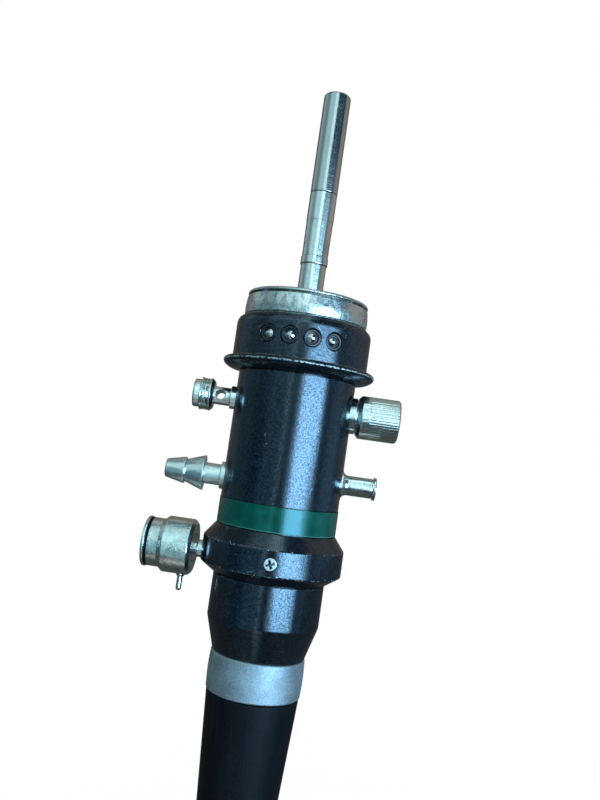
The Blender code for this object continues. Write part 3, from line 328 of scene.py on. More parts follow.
class Place:
    """Coordinates along a turned piece's own axis, read from Object coordinates."""

    def __init__(self, graph: Graph, axis: Axis) -> None:
        """Adds the nodes that centre and turn Object coordinates on an axis."""
        self.graph = graph
        source = graph.node("ShaderNodeTexCoord").outputs["Object"]
        self.point = graph.node("ShaderNodeMapping", {"vector_type": "TEXTURE"}, {
            "Vector": source, "Location": (0, 0, axis.height * MM), "Rotation": tuple(axis.euler()),
        }).outputs[0]
        parts = graph.node("ShaderNodeSeparateXYZ", None, {0: self.point})
        self.x, self.y, self.height = (Value(graph, output) for output in parts.outputs)
        self.radius = (self.x * self.x + self.y * self.y) ** 0.5

    def noise(self, size: float, detail: float = 2.0, stretch: Sequence[float] = (1, 1, 1),
              roughness: float = 0.5) -> Value:
        """Noise on the piece.

        Args:
            size: about how large its patches are, in millimetres.
            detail: how many finer layers lie on it.
            stretch: how many times longer the patches are along X, Y and Z.
            roughness: how strong the finer layers are.

        Returns:
            The noise, about 0.5 on average.
        """
        scaled = self.graph.node("ShaderNodeMapping", {"vector_type": "POINT"}, {
            "Vector": self.point, "Scale": tuple(1.0 / share for share in stretch),
        }).outputs[0]
        made = self.graph.node("ShaderNodeTexNoise", None, {
            "Vector": scaled, "Scale": 1.0 / (size * MM), "Detail": detail, "Roughness": roughness,
        })
        return self.graph.value(made, "Fac")

    def rings(self, pitch: float, detail: float = 3.0) -> Value:
        """Irregular tool marks of about a pitch in millimetres, which run round the axis."""
        across = self.height * (1.0 / (pitch * MM))
        made = self.graph.node("ShaderNodeTexNoise", {"noise_dimensions": "1D"}, {
            "W": across, "Scale": 1.0, "Detail": detail,
        })
        return self.graph.value(made, "Fac")

    def dots(self, spacing: float, size: float, share: float) -> Value:
        """Scattered dots.

        Args:
            spacing: the mean distance between possible dots, in millimetres.
            size: a dot's radius in millimetres.
            share: how many of the possible dots there are, from 0 to 1.

        Returns:
            1 on a dot and 0 elsewhere.
        """
        cells = self.graph.node("ShaderNodeTexVoronoi", {"feature": "F1"}, {
            "Vector": self.point, "Scale": 1.0 / (spacing * MM),
        })
        reach = size / spacing
        inside = 1 - self.graph.value(cells, "Distance").step(0.7 * reach, reach)
        chance = self.graph.node("ShaderNodeSeparateColor", None, {0: cells.outputs["Color"]})
        return inside * self.graph.value(chance).step(1.0 - share, 1.001 - share)

    def ring_mark(self, mark: RingMark) -> Value:
        """A mark that runs round the axis.

        Args:
            mark: the mark.

        Returns:
            The mark's share on its ring, falling to 0 at its width.
        """
        out = self.radius - mark.radius * MM
        up = self.height - mark.height * MM
        return (1 - ((out * out + up * up) ** 0.5).step(0.0, mark.width * MM)) * mark.share

    def scratch(self, line: Scratch, radius: float) -> Value:
        """A scratch on a cylinder round the plug's axis.

        Args:
            line: the scratch.
            radius: the cylinder's radius in millimetres.

        Returns:
            1 on the scratch and 0 elsewhere.
        """
        turn, lean = math.radians(line.azimuth), math.radians(line.lean)
        side = (self.x * math.cos(turn) + self.y * math.sin(turn)) * (1.0 / (radius * MM))
        front = (self.x * math.sin(turn) - self.y * math.cos(turn)).step(0.0, 1 * MM)
        round_it = side.maths("ARCSINE", side) * (radius * MM)
        up = self.height - line.height * MM
        along = up * math.cos(lean) + round_it * math.sin(lean)
        across = round_it * math.cos(lean) - up * math.sin(lean)
        thin = 1 - abs(across).step(0.3 * line.width * MM, line.width * MM)
        short = 1 - abs(along).step(0.4 * line.length * MM, 0.5 * line.length * MM)
        return thin * short * front


def new_material(name: str, colour: Colour, roughness: float) -> tuple[
        bpy.types.Material, Graph, bpy.types.NodeInputs]:
    """Makes a plain material.

    Args:
        name: its name.
        colour: its base colour.
        roughness: its roughness.

    Returns:
        The material, its graph and the inputs of its shader.
    """
    made = bpy.data.materials.new(name)
    made.use_nodes = True
    graph = Graph(made.node_tree)
    shader = made.node_tree.nodes["Principled BSDF"].inputs
    graph.feed(shader["Base Color"], colour)
    shader["Roughness"].default_value = roughness
    return made, graph, shader


@dataclass(frozen=True)
class Finish:
    """What every finish has: a base colour, a roughness and a slot of the record."""

    colour: Colour
    roughness: float
    slot: Slot

    def material(self, name: str, axis: Axis) -> bpy.types.Material:
        """Makes the finish's material for one piece.

        Args:
            name: the piece's name.
            axis: the axis that the piece was turned on.

        Returns:
            The material.
        """
        full_name = f"{name}_{self.slot.value}"
        made, graph, shader = new_material(full_name, self.colour, self.roughness)
        made.diffuse_color = (*self.colour, 1.0)
        self.dress(graph, shader, Place(graph, axis))
        return made

    def dress(self, graph: Graph, shader: bpy.types.NodeInputs, place: Place) -> None:
        """Links what varies over the surface; each kind of finish does it its own way."""
        raise NotImplementedError

    @staticmethod
    def relief(graph: Graph, shader: bpy.types.NodeInputs, height: Value) -> None:
        """Feeds a height in millimetres to the normal."""
        inputs = {"Strength": 1.0, "Distance": MM, "Height": height}
        bump = graph.node("ShaderNodeBump", None, inputs)
        graph.feed(shader["Normal"], bump.outputs[0])


@dataclass(frozen=True)
class BlackCoat(Finish):
    """Hard black coat on metal: fine grain, chips on the edges, dots and scratches.

    Attributes:
        bare_colour: the metal under the coat.
        speck_colour: the paler specks of the coat.
        tint: the colour of its shine.
        rings: the edges where it is chipped.
        scratches: the scratches in it.
        scratch_radius: the radius of the face that they lie on.
        dots: the share of possible dots that are bare.
        grain: how large its grain is.
        shine: how strong its shine is.
    """

    colour: Colour = (0.004, 0.005, 0.008)
    roughness: float = 0.18
    slot: Slot = Slot.BLACK_COAT
    bare_colour: Colour = (0.70, 0.74, 0.72)
    speck_colour: Colour = (0.020, 0.027, 0.032)
    tint: Colour = (0.72, 0.86, 1.0)
    rings: tuple[RingMark, ...] = ()
    scratches: tuple[Scratch, ...] = ()
    scratch_radius: float = 17.6
    dots: float = 0.12
    grain: float = 0.36
    shine: float = 1.0

    def dress(self, graph: Graph, shader: bpy.types.NodeInputs, place: Place) -> None:
        """Adds the grain, the smudges and every place where bare metal shows."""
        grain = place.noise(self.grain, 2.0)
        smudge = place.noise(9.0, 3.0, (1, 1, 2.5))
        flakes = place.noise(0.7, 5.0, roughness=0.7)
        specks = 1 - (grain * 0.6 + flakes * 0.4).step(0.38, 0.50)
        bare = place.dots(3.2, 0.11, self.dots)
        for ring in self.rings:
            bare = bare.most((place.ring_mark(ring) + flakes).step(0.74, 0.80))
        for line in self.scratches:
            bare = bare.most(place.scratch(line, self.scratch_radius) * (0.25 + flakes))
        coat = graph.blend(smudge.step(0.35, 0.75), self.colour, scaled(self.colour, 1.5))
        coat = graph.blend(specks, coat, self.speck_colour)
        graph.feed(shader["Base Color"], graph.blend(bare, coat, self.bare_colour))
        glint = (grain * 0.7 + flakes * 0.3).step(0.42, 0.64) * 0.62
        graph.feed(shader["Metallic"], bare.most(glint))
        rough = self.roughness + (grain - 0.5) * 0.20 + (smudge - 0.5) * 0.12 + bare * 0.35
        graph.feed(shader["Roughness"], rough)
        shader["IOR"].default_value = 1.6
        shader["Specular IOR Level"].default_value = self.shine
        graph.feed(shader["Specular Tint"], self.tint)
        self.relief(graph, shader, grain * 0.020 + flakes * 0.010 - bare * 0.012)


@dataclass(frozen=True)
class TurnedMetal(Finish):
    """Bright turned metal: tool marks round the axis, streaks along it, tarnished patches and painted
    shade.

    Attributes:
        tarnish_and_shade: the colour of the tarnished patches and of the painted shade.
        tarnish_share: how much of the metal's colour it covers where it is thickest.
        tarnish_edge: the level of the noise at which it is thickest.
        patch: how large its patches are.
        pale: the colour of the pale blotches.
        blotches: how strong they are.
        pitch: the pitch of the tool marks.
        marks: how deep they are.
        streaks: how rough the streaks are.
        dents: how deep the small dents are.
        scuffs: how strong the scuffed lines are.
        stripes: how high the stripes along the axis are.
        painted_shade_rings: rings that are darkened as painted shade, such as a groove.
        painted_shade_floor: the height under which all is darkened as painted shade, such as in a
            recess, or None.
    """

    colour: Colour = (0.80, 0.82, 0.78)
    roughness: float = 0.22
    slot: Slot = Slot.NICKEL
    tarnish_and_shade: Colour = (0.34, 0.30, 0.25)
    tarnish_share: float = 0.25
    tarnish_edge: float = 0.66
    patch: float = 5.0
    pale: Colour = (0.80, 0.83, 0.80)
    blotches: float = 0.0
    pitch: float = 0.12
    marks: float = 0.5
    streaks: float = 0.3
    dents: float = 1.0
    scuffs: float = 0.0
    stripes: float = 0.0
    painted_shade_rings: tuple[RingMark, ...] = ()
    painted_shade_floor: float | None = None

    def dress(self, graph: Graph, shader: bpy.types.NodeInputs, place: Place) -> None:
        """Adds the tool marks, the streaks, the tarnished patches, the painted shade and the dents."""
        marks = place.rings(self.pitch)
        streak = place.noise(0.35, 3.0, (1, 1, 40))
        patch = place.noise(self.patch, 4.0, (1, 1, 1.6), 0.6)
        speck = place.noise(0.5, 4.0, roughness=0.7)
        stain_and_shade = (patch * 0.60 + speck * 0.40).step(0.49, self.tarnish_edge) * self.tarnish_share
        if self.scuffs:
            line = 1 - abs(place.noise(2.0, 1.5, (1, 1, 1.8)) - 0.5).step(0.004, 0.014)
            stain_and_shade = stain_and_shade.most(line * patch.step(0.40, 0.60) * self.scuffs)
        # Painted shade: each of these rings darkens the metal where a groove lies in shade.
        for ring in self.painted_shade_rings:
            stain_and_shade = stain_and_shade.most(place.ring_mark(ring))
        # Painted shade: all under this height is darkened where a recess lies in shade.
        if self.painted_shade_floor is not None:
            over = place.height.step((self.painted_shade_floor - 0.08) * MM, self.painted_shade_floor * MM)
            stain_and_shade = stain_and_shade.most(1 - over)
        # The tarnished patches and scuffs are stains; the rings and the height add painted shade in
        # the same colour.
        colour = graph.blend(stain_and_shade, self.colour, self.tarnish_and_shade)
        pale = (patch * 0.45 + speck * 0.55).step(0.53, 0.60) * self.blotches
        graph.feed(shader["Base Color"], graph.blend(pale, colour, self.pale))
        graph.feed(shader["Metallic"], 1 - pale * 0.6)
        rough = self.roughness + (marks - 0.5) * 0.16 * self.marks
        rough = rough + (streak - 0.5) * 0.2 * self.streaks
        rough = rough + stain_and_shade * 0.20 + pale * 0.35
        graph.feed(shader["Roughness"], rough.most(0.04))
        relief = marks * (0.004 * self.marks) + streak * (0.003 * self.streaks)
        if self.stripes:
            relief = relief + place.noise(0.9, 2.0, (1, 1, 40)) * self.stripes
        dent = place.noise(1.4, 2.0)
        self.relief(graph, shader, relief + (speck * 0.016 + dent * 0.035) * self.dents)


@dataclass(frozen=True)
class SatinMetal(Finish):
    """Satin blasted metal with an even fine grain."""

    colour: Colour = (0.62, 0.68, 0.72)
    roughness: float = 0.60
    slot: Slot = Slot.SATIN_SILVER

    def dress(self, graph: Graph, shader: bpy.types.NodeInputs, place: Place) -> None:
        """Adds the grain and slightly darker clouds."""
        grain = place.noise(0.40, 3.0)
        cloud = place.noise(5.0, 3.0)
        dark = scaled(self.colour, 0.62)
        share = (grain * 0.6 + cloud * 0.4).step(0.35, 0.65)
        graph.feed(shader["Base Color"], graph.blend(share, dark, self.colour))
        shader["Metallic"].default_value = 1.0
        rough = self.roughness + (grain - 0.5) * 0.15 + (cloud - 0.5) * 0.08
        graph.feed(shader["Roughness"], rough)
        self.relief(graph, shader, grain * 0.09)


@dataclass(frozen=True, kw_only=True)
class Enamel(Finish):
    """Glossy enamel with a faint unevenness and a lighter lip.

    Attributes:
        lip: where the lighter lip is.
        lip_colour: its colour.
        tint: the colour of the enamel's shine.
        shine: how strong its shine is.
    """

    colour: Colour = (0.0, 0.072, 0.044)
    roughness: float = 0.18
    slot: Slot = Slot.GREEN_ENAMEL
    lip: RingMark
    lip_colour: Colour = (0.16, 0.42, 0.33)
    tint: Colour = (0.45, 0.92, 1.0)
    shine: float = 0.80

    def dress(self, graph: Graph, shader: bpy.types.NodeInputs, place: Place) -> None:
        """Adds the unevenness of the enamel and its lighter lip."""
        cloud = place.noise(4.0, 3.0)
        grain = place.noise(0.32, 3.0)
        light = scaled(self.colour, 1.5, 0.004)
        colour = graph.blend(cloud.step(0.35, 0.7), self.colour, light)
        lip = place.ring_mark(self.lip)
        graph.feed(shader["Base Color"], graph.blend(lip, colour, self.lip_colour))
        graph.feed(shader["Roughness"], self.roughness + (grain - 0.5) * 0.12 + lip * 0.1)
        shader["Specular IOR Level"].default_value = self.shine
        graph.feed(shader["Specular Tint"], self.tint)
        self.relief(graph, shader, grain * 0.013)


@dataclass(frozen=True)
class Rubber(Finish):
    """Black moulded rubber: fine grain, streaks along the axis, and a little dust.

    Attributes:
        grain: how large its grain is.
        streaks: how strong the streaks are.
        speck_colour: the paler specks of the grain.
        dust_colour: the dust's colour.
        shine: how strong its shine is.
    """

    colour: Colour = (0.003, 0.004, 0.006)
    roughness: float = 0.45
    slot: Slot = Slot.BLACK_RUBBER
    grain: float = 0.25
    streaks: float = 0.5
    speck_colour: Colour = (0.012, 0.016, 0.019)
    dust_colour: Colour = (0.25, 0.25, 0.24)
    shine: float = 0.18

    def dress(self, graph: Graph, shader: bpy.types.NodeInputs, place: Place) -> None:
        """Adds the grain, the streaks and the dust."""
        grain = place.noise(self.grain, 3.0)
        streak = place.noise(1.3, 3.0, (1, 1, 45))
        dust = place.dots(4.5, 0.10, 0.10)
        worn = scaled(self.colour, 2.2, 0.006)
        colour = graph.blend(streak.step(0.5, 0.75) * self.streaks, self.colour, worn)
        colour = graph.blend(grain.step(0.52, 0.66), colour, self.speck_colour)
        graph.feed(shader["Base Color"], graph.blend(dust * 0.5, colour, self.dust_colour))
        rough = self.roughness + (grain - 0.5) * 0.12 - (streak - 0.5) * 0.25 * self.streaks
        graph.feed(shader["Roughness"], rough)
        shader["Specular IOR Level"].default_value = self.shine
        self.relief(graph, shader, grain * 0.016 + streak * (self.streaks * 0.008))


@dataclass(frozen=True)
class Plastic(Finish):
    """Glossy black moulded plastic."""

    colour: Colour = (0.010, 0.012, 0.015)
    roughness: float = 0.16
    slot: Slot = Slot.BLACK_PLASTIC

    def dress(self, graph: Graph, shader: bpy.types.NodeInputs, place: Place) -> None:
        """Adds faint clouds and a fine grain."""
        grain = place.noise(0.2, 3.0)
        cloud = place.noise(1.5, 2.0)
        light = scaled(self.colour, 1.8)
        graph.feed(shader["Base Color"], graph.blend(cloud, self.colour, light))
        rough = self.roughness + (grain - 0.5) * 0.1 + (cloud - 0.5) * 0.08
        graph.feed(shader["Roughness"], rough)
        self.relief(graph, shader, grain * 0.003)


@dataclass(frozen=True)
class Glass(Finish):
    """A clear window; its fine dust shows as a little roughness."""

    colour: Colour = (0.86, 0.93, 0.93)
    roughness: float = 0.02
    slot: Slot = Slot.CLEAR_GLASS

    def dress(self, graph: Graph, shader: bpy.types.NodeInputs, place: Place) -> None:
        """Makes the shader clear and adds the dust."""
        dust = place.noise(0.3, 3.0).step(0.55, 0.8)
        graph.feed(shader["Base Color"], graph.blend(dust * 0.3, self.colour, (0.6, 0.62, 0.6)))
        graph.feed(shader["Roughness"], self.roughness + dust * 0.12)
        shader["Transmission Weight"].default_value = 1.0
        shader["IOR"].default_value = 1.5


@dataclass(frozen=True)
class Fibres(Finish):
    """The polished end of a bundle of glass fibres."""

    colour: Colour = (0.62, 0.64, 0.58)
    roughness: float = 0.30
    slot: Slot = Slot.GLASS_FIBRE

    def dress(self, graph: Graph, shader: bpy.types.NodeInputs, place: Place) -> None:
        """Adds a dark joint round each fibre and a different tone to some."""
        cells = graph.node("ShaderNodeTexVoronoi", {"feature": "F1"}, {
            "Vector": place.point, "Scale": 1.0 / (0.16 * MM),
        })
        joint = graph.value(cells, "Distance").step(0.30, 0.55)
        tone = place.noise(0.5, 2.0)
        colour = graph.blend(tone, self.colour, (0.40, 0.40, 0.33))
        graph.feed(shader["Base Color"], graph.blend(joint, colour, (0.10, 0.10, 0.08)))
        graph.feed(shader["Roughness"], self.roughness + joint * 0.3)
        self.relief(graph, shader, (1 - joint) * 0.006)


@dataclass(frozen=True)
class Corner:
    """A corner of a turned outline: radius and height, and how wide it is rounded."""

    radius: float
    height: float
    rounding: float = 0.0


Outline = Sequence[Union[Corner, tuple]]


def arc(centre_r: float, centre_h: float, radius: float, start: float, end: float,
        steps: int) -> list[Corner]:
    """Corners on an arc of an outline.

    Args:
        centre_r: the radius at which its centre lies.
        centre_h: the height at which its centre lies.
        radius: its own radius.
        start: where it starts, in degrees, 0 pointing out and 90 up.
        end: where it ends.
        steps: how many pieces it is made of.

    Returns:
        The corners in order.
    """
    turns = [math.radians(start + (end - start) * i / steps) for i in range(steps + 1)]
    return [Corner(centre_r + radius * math.cos(t), centre_h + radius * math.sin(t)) for t in turns]


class Turning:
    """A solid of revolution as a bmesh along local Z."""

    # How far the extra corners stay from a plain corner, and the share of room they need
    HOLD = 0.12
    ROOM = 1.4
    # A corner counts as the same within this distance, in metres
    REACH = 0.002 * MM
    # Roundings narrower than this get fewer segments
    NARROW = 0.3

    def __init__(self, outline: Outline, segments: int = FINE) -> None:
        """Spins an outline.

        Args:
            outline: its corners, as Corner or (radius, height[, rounding]). One that starts
                on the axis makes a solid piece, any other one is closed and makes a ring.
            segments: how many facets go round.
        """
        self.corners = [c if isinstance(c, Corner) else Corner(*c) for c in outline]
        closed = self.corners[0].radius > 0
        self.bm = bmesh.new()
        points = [self.bm.verts.new((c.radius * MM, 0, c.height * MM)) for c in self.held(closed)]
        edges = [self.bm.edges.new(pair) for pair in zip(points, points[1:])]
        if closed:
            edges.append(self.bm.edges.new((points[-1], points[0])))
        bmesh.ops.spin(
            self.bm, geom=points + edges, cent=(0, 0, 0), axis=(0, 0, 1),
            angle=2 * math.pi, steps=segments, use_merge=True,
        )
        bmesh.ops.remove_doubles(self.bm, verts=self.bm.verts, dist=WELD)
        bmesh.ops.recalc_face_normals(self.bm, faces=self.bm.faces)
        self.round_corners()

    def held(self, closed: bool) -> list[Corner]:
        """The outline with an extra corner near each end of its long runs.

        Args:
            closed: whether the last corner is joined to the first.

        Returns:
            The corners, the extra ones keeping the long faces flat beside the rounded edges.
        """
        held = []
        followers = self.corners[1:] + (self.corners[:1] if closed else [])
        for corner, follower in zip(self.corners, followers):
            held.append(corner)
            along = Vector((follower.radius - corner.radius, follower.height - corner.height))
            near, far = (1.5 * c.rounding + self.HOLD for c in (corner, follower))
            if along.length > self.ROOM * (near + far):
                for distance in (near, along.length - far):
                    spot = along.normalized() * distance
                    held.append(Corner(corner.radius + spot.x, corner.height + spot.y))
        return held if closed else [*held, self.corners[-1]]

    def at(self, vert: bmesh.types.BMVert, corner: Corner) -> bool:
        """Whether a vertex lies on a corner's ring."""
        off = math.hypot(vert.co.x, vert.co.y) - corner.radius * MM
        return abs(off) < self.REACH and abs(vert.co.z - corner.height * MM) < self.REACH

    def round_corners(self) -> None:
        """Bevels the ring of each corner that has a rounding."""
        for width in sorted({c.rounding for c in self.corners if c.rounding}, reverse=True):
            chosen = [c for c in self.corners if c.rounding == width]
            edges = [
                e for e in self.bm.edges
                if any(self.at(e.verts[0], c) and self.at(e.verts[1], c) for c in chosen)
            ]
            bmesh.ops.bevel(
                self.bm, geom=edges, offset=width * MM, offset_type="OFFSET", affect="EDGES",
                segments=3 if width < self.NARROW else 5, profile=0.5, material=-1,
                clamp_overlap=True,
            )

    def split_rings(self, heights: Iterable[float]) -> None:
        """Cuts the mesh square to the axis at each height, without parting it."""
        for height in heights:
            bmesh.ops.bisect_plane(
                self.bm, geom=[*self.bm.verts, *self.bm.edges, *self.bm.faces],
                plane_co=(0, 0, height * MM), plane_no=(0, 0, 1), dist=0.0002 * MM,
            )

    def place(self, axis: Axis) -> bmesh.types.BMesh:
        """Moves the mesh to its axis and returns it."""
        bmesh.ops.transform(self.bm, matrix=axis.matrix(), verts=self.bm.verts)
        return self.bm


def rod(radius: float, start: float, end: float, axis: Axis,
        segments: int = SMALL) -> bmesh.types.BMesh:
    """A plain round shape to cut or join with.

    Args:
        radius: its radius.
        start: where it starts along the axis.
        end: where it ends.
        axis: its axis.
        segments: how many facets go round.

    Returns:
        Its mesh, in place.
    """
    return Turning([(0, start), (radius, start), (radius, end), (0, end)], segments).place(axis)


def to_object(name: str, bm: bmesh.types.BMesh) -> bpy.types.Object:
    """Makes an object of a mesh, at the origin, and frees the mesh."""
    mesh = bpy.data.meshes.new(name)
    bm.to_mesh(mesh)
    bm.free()
    made = bpy.data.objects.new(name, mesh)
    bpy.context.scene.collection.objects.link(made)
    return made


def cuts(shapes: Iterable[bmesh.types.BMesh]) -> list[tuple[Carving, bmesh.types.BMesh]]:
    """The steps that cut shapes away."""
    return [(Carving.CUT, shape) for shape in shapes]


def carve(bm: bmesh.types.BMesh,
          steps: Sequence[tuple[Carving, bmesh.types.BMesh]]) -> bmesh.types.BMesh:
    """Cuts other shapes from a mesh, or joins them to it, in order.

    Args:
        bm: the mesh, which is used up.
        steps: what each step does, and its shape, which is used up.

    Returns:
        The carved mesh.
    """
    blank = to_object("blank", bm)
    tools = [to_object(f"tool_{number}", shape) for number, (_, shape) in enumerate(steps)]
    for (carving, _), tool in zip(steps, tools):
        modifier = blank.modifiers.new(tool.name, "BOOLEAN")
        modifier.operation = carving.value
        modifier.solver = "EXACT"
        modifier.object = tool
    made = bmesh.new()
    made.from_object(blank, bpy.context.evaluated_depsgraph_get())
    for used in [blank, *tools]:
        mesh = used.data
        bpy.data.objects.remove(used)
        bpy.data.meshes.remove(mesh)
    bmesh.ops.remove_doubles(made, verts=made.verts, dist=WELD)
    bmesh.ops.dissolve_degenerate(made, edges=made.edges, dist=WELD)
    return made


def add_piece(name: str, bm: bmesh.types.BMesh, finish: Finish, axis: Axis = UPRIGHT,
              body: Body = Body.PLUG) -> bpy.types.Object:
    """Turns a finished mesh into a piece of the plug.

    Args:
        name: the name of the node that it replaces.
        bm: its mesh, in place.
        finish: its finish.
        axis: the axis that the finish's marks run round.
        body: the body that it rides on.

    Returns:
        The piece.
    """
    made = to_object(f"{name}_fine", bm)
    made.data.shade_smooth()
    made.data.set_sharp_from_angle(angle=SHARP_ANGLE)
    made.data.materials.append(finish.material(name, axis))
    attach(made, body.value)
    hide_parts(name)
    log.info("%s: %d faces on %s", made.name, len(made.data.polygons), body.value)
    return made


def add_turned(name: str, outline: Outline, finish: Finish, segments: int = FINE,
               axis: Axis = UPRIGHT, body: Body = Body.PLUG) -> bpy.types.Object:
    """Adds a piece that only has to be turned.

    Args:
        name: the name of the node that it replaces.
        outline: its outline.
        finish: its finish.
        segments: how many facets go round.
        axis: the axis that it is turned on.
        body: the body that it rides on.

    Returns:
        The piece.
    """
    return add_piece(name, Turning(outline, segments).place(axis), finish, axis, body)


@dataclass
class LightGuideProng:
    """The prong: tube, sleeve with its lip, base, window and fibres."""

    radius: float = 4.15
    tip: float = 84.55
    joint: float = 53.3
    taper_top: float = 44.4
    lip_top: float = 33.35
    lip_base: float = 31.05
    waist: float = 3.97
    neck: float = 3.9
    spigot: float = 3.3
    spigot_length: float = 7.5
    fibres: float = 2.5
    flange: float = 7.0
    flange_base: float = 16.7
    flange_top: float = 18.2
    shank: float = 4.9
    shank_end: float = 5.7
    gap: float = 0.3
    joint_gap: float = 0.15
    chamfer: float = 0.6
    window: float = 2.9
    window_bore: float = 3.2
    window_depth: float = 3.6
    window_back: float = 3.3
    window_front: float = 0.3
    # Share of the finish's colour that the tube keeps: painted shade on the upper tube.
    tube_painted_shade: float = 0.76
    finish: TurnedMetal = field(default_factory=lambda: TurnedMetal(
        colour=(0.72, 0.75, 0.74), roughness=0.11, slot=Slot.POLISHED_STEEL, marks=0.25,
        streaks=1.4, tarnish_share=0.40, patch=4.0, dents=0.8,
    ))

    def build(self) -> None:
        """Builds every piece of the prong."""
        self.build_tube()
        self.build_sleeve()
        self.build_base()
        self.build_window()

    def build_tube(self) -> None:
        """The plain upper tube."""
        seat = self.tip - self.window_depth
        outline = [
            (self.fibres, self.joint - self.spigot_length),
            (self.spigot, self.joint - self.spigot_length), (self.spigot, self.joint),
            (self.radius, self.joint, 0.10), (self.radius, self.tip - self.chamfer, 0.18),
            (self.radius - self.chamfer, self.tip, 0.12), (self.window_bore, self.tip, 0.05),
            (self.window_bore, seat), (self.fibres, seat),
        ]
        # The tube gets a darker copy of the sleeve's finish, a painted shade for the darker look of
        # its upper part.
        painted_dark_tube = replace(self.finish, colour=scaled(self.finish.colour, self.tube_painted_shade))
        add_turned("light_guide_tube", outline, painted_dark_tube, MIDDLE)

    def build_sleeve(self) -> None:
        """The sleeve, whose lower part narrows to the waist over the lip."""
        bore = self.spigot + self.gap
        top = self.joint - self.joint_gap
        outline = [
            (bore, self.lip_base), (self.radius, self.lip_base, 0.10),
            (self.radius, self.lip_top, 0.06), (self.waist, self.lip_top + 0.15),
            (self.radius - 0.06, self.taper_top), (self.radius, self.taper_top + 0.08),
            (self.radius, top, 0.10), (bore, top), (bore, top - self.spigot_length - self.gap),
            (self.fibres, top - self.spigot_length - self.gap),
            (self.fibres, self.lip_base + self.spigot_length),
            (bore, self.lip_base + self.spigot_length),
        ]
        add_turned("light_guide_sleeve", outline, self.finish, MIDDLE)

    def build_base(self) -> None:
        """The base that is screwed to the front plate."""
        neck_top = self.lip_base - self.joint_gap
        spigot_top = self.lip_base + self.spigot_length - self.gap
        outline = [
            (self.fibres, self.shank_end), (self.shank, self.shank_end),
            (self.shank, self.flange_base), (self.flange, self.flange_base, 0.1),
            (self.flange, self.flange_top, 0.3), (self.neck + 0.4, self.flange_top),
            (self.neck, self.flange_top + 0.4), (self.neck, neck_top, 0.08),
            (self.spigot, neck_top), (self.spigot, spigot_top), (self.fibres, spigot_top),
        ]
        add_turned("prong_base", outline, self.finish, MIDDLE)

    def build_window(self) -> None:
        """The glass window in the tip; the fibres behind it keep their own shape."""
        low, high = self.tip - self.window_back, self.tip - self.window_front
        outline = [(0, low), (self.window, low, 0.1), (self.window, high, 0.15), (0, high)]
        add_turned("light_guide_window", outline, Glass(), SMALL)


@dataclass
class Front:
    """The polished front ring and the front plate in it."""

    band_base_r: float = 18.5
    rim_r: float = 18.2
    band_base: float = 13.1
    groove_base: float = 18.7
    rim_base: float = 19.3
    top: float = 20.25
    bore: float = 16.0
    spigot: float = 16.9
    spigot_base: float = 9.1
    groove: float = 0.9
    ledge: float = 0.8
    floor: float = 0.3
    chamfer: float = 0.45
    plate: float = 15.7
    plate_bore: float = 5.2
    plate_base: float = 13.7
    plate_top: float = 16.4

    def build(self) -> None:
        """Builds the ring and the plate."""
        worn = TurnedMetal(
            colour=(0.76, 0.80, 0.76), roughness=0.24, slot=Slot.POLISHED_STEEL,
            marks=0.5, streaks=0.3, tarnish_and_shade=(0.12, 0.12, 0.11), tarnish_share=0.85,
            tarnish_edge=0.58, patch=1.8, blotches=0.75, dents=2.6, scuffs=0.5,
            # The ring mark in the groove under the rim is painted shade, darkened fully to the dark
            # patch colour.
            painted_shade_rings=(RingMark(self.rim_r - self.groove, self.rim_base - 0.3, 1.0, 1.0),),
        )
        ledge, floor = self.bore - self.ledge, self.band_base + self.floor
        outline = [
            (ledge, self.spigot_base), (self.spigot, self.spigot_base),
            (self.spigot, self.band_base), (self.band_base_r, self.band_base, 0.15),
            (self.band_base_r + 0.08, self.band_base + 2.4, 0.6),
            (self.rim_r + 0.12, self.groove_base - 0.9, 0.5),
            (self.rim_r, self.groove_base, 0.12), (self.rim_r - self.groove, self.groove_base),
            (self.rim_r - self.groove, self.rim_base), (self.rim_r, self.rim_base, 0.18),
            (self.rim_r, self.top - self.chamfer, 0.16),
            (self.rim_r - self.chamfer, self.top, 0.16), (self.bore, self.top, 0.12),
            (self.bore, floor), (ledge, floor),
        ]
        add_turned("front_ring", outline, worn)
        plate = [
            (self.plate_bore, self.plate_base), (self.plate, self.plate_base),
            (self.plate, self.plate_top, 0.12), (self.plate_bore, self.plate_top, 0.12),
        ]
        satin = TurnedMetal(roughness=0.26, marks=0.9, pitch=0.25, tarnish_share=0.35)
        add_turned("front_plate", plate, satin)


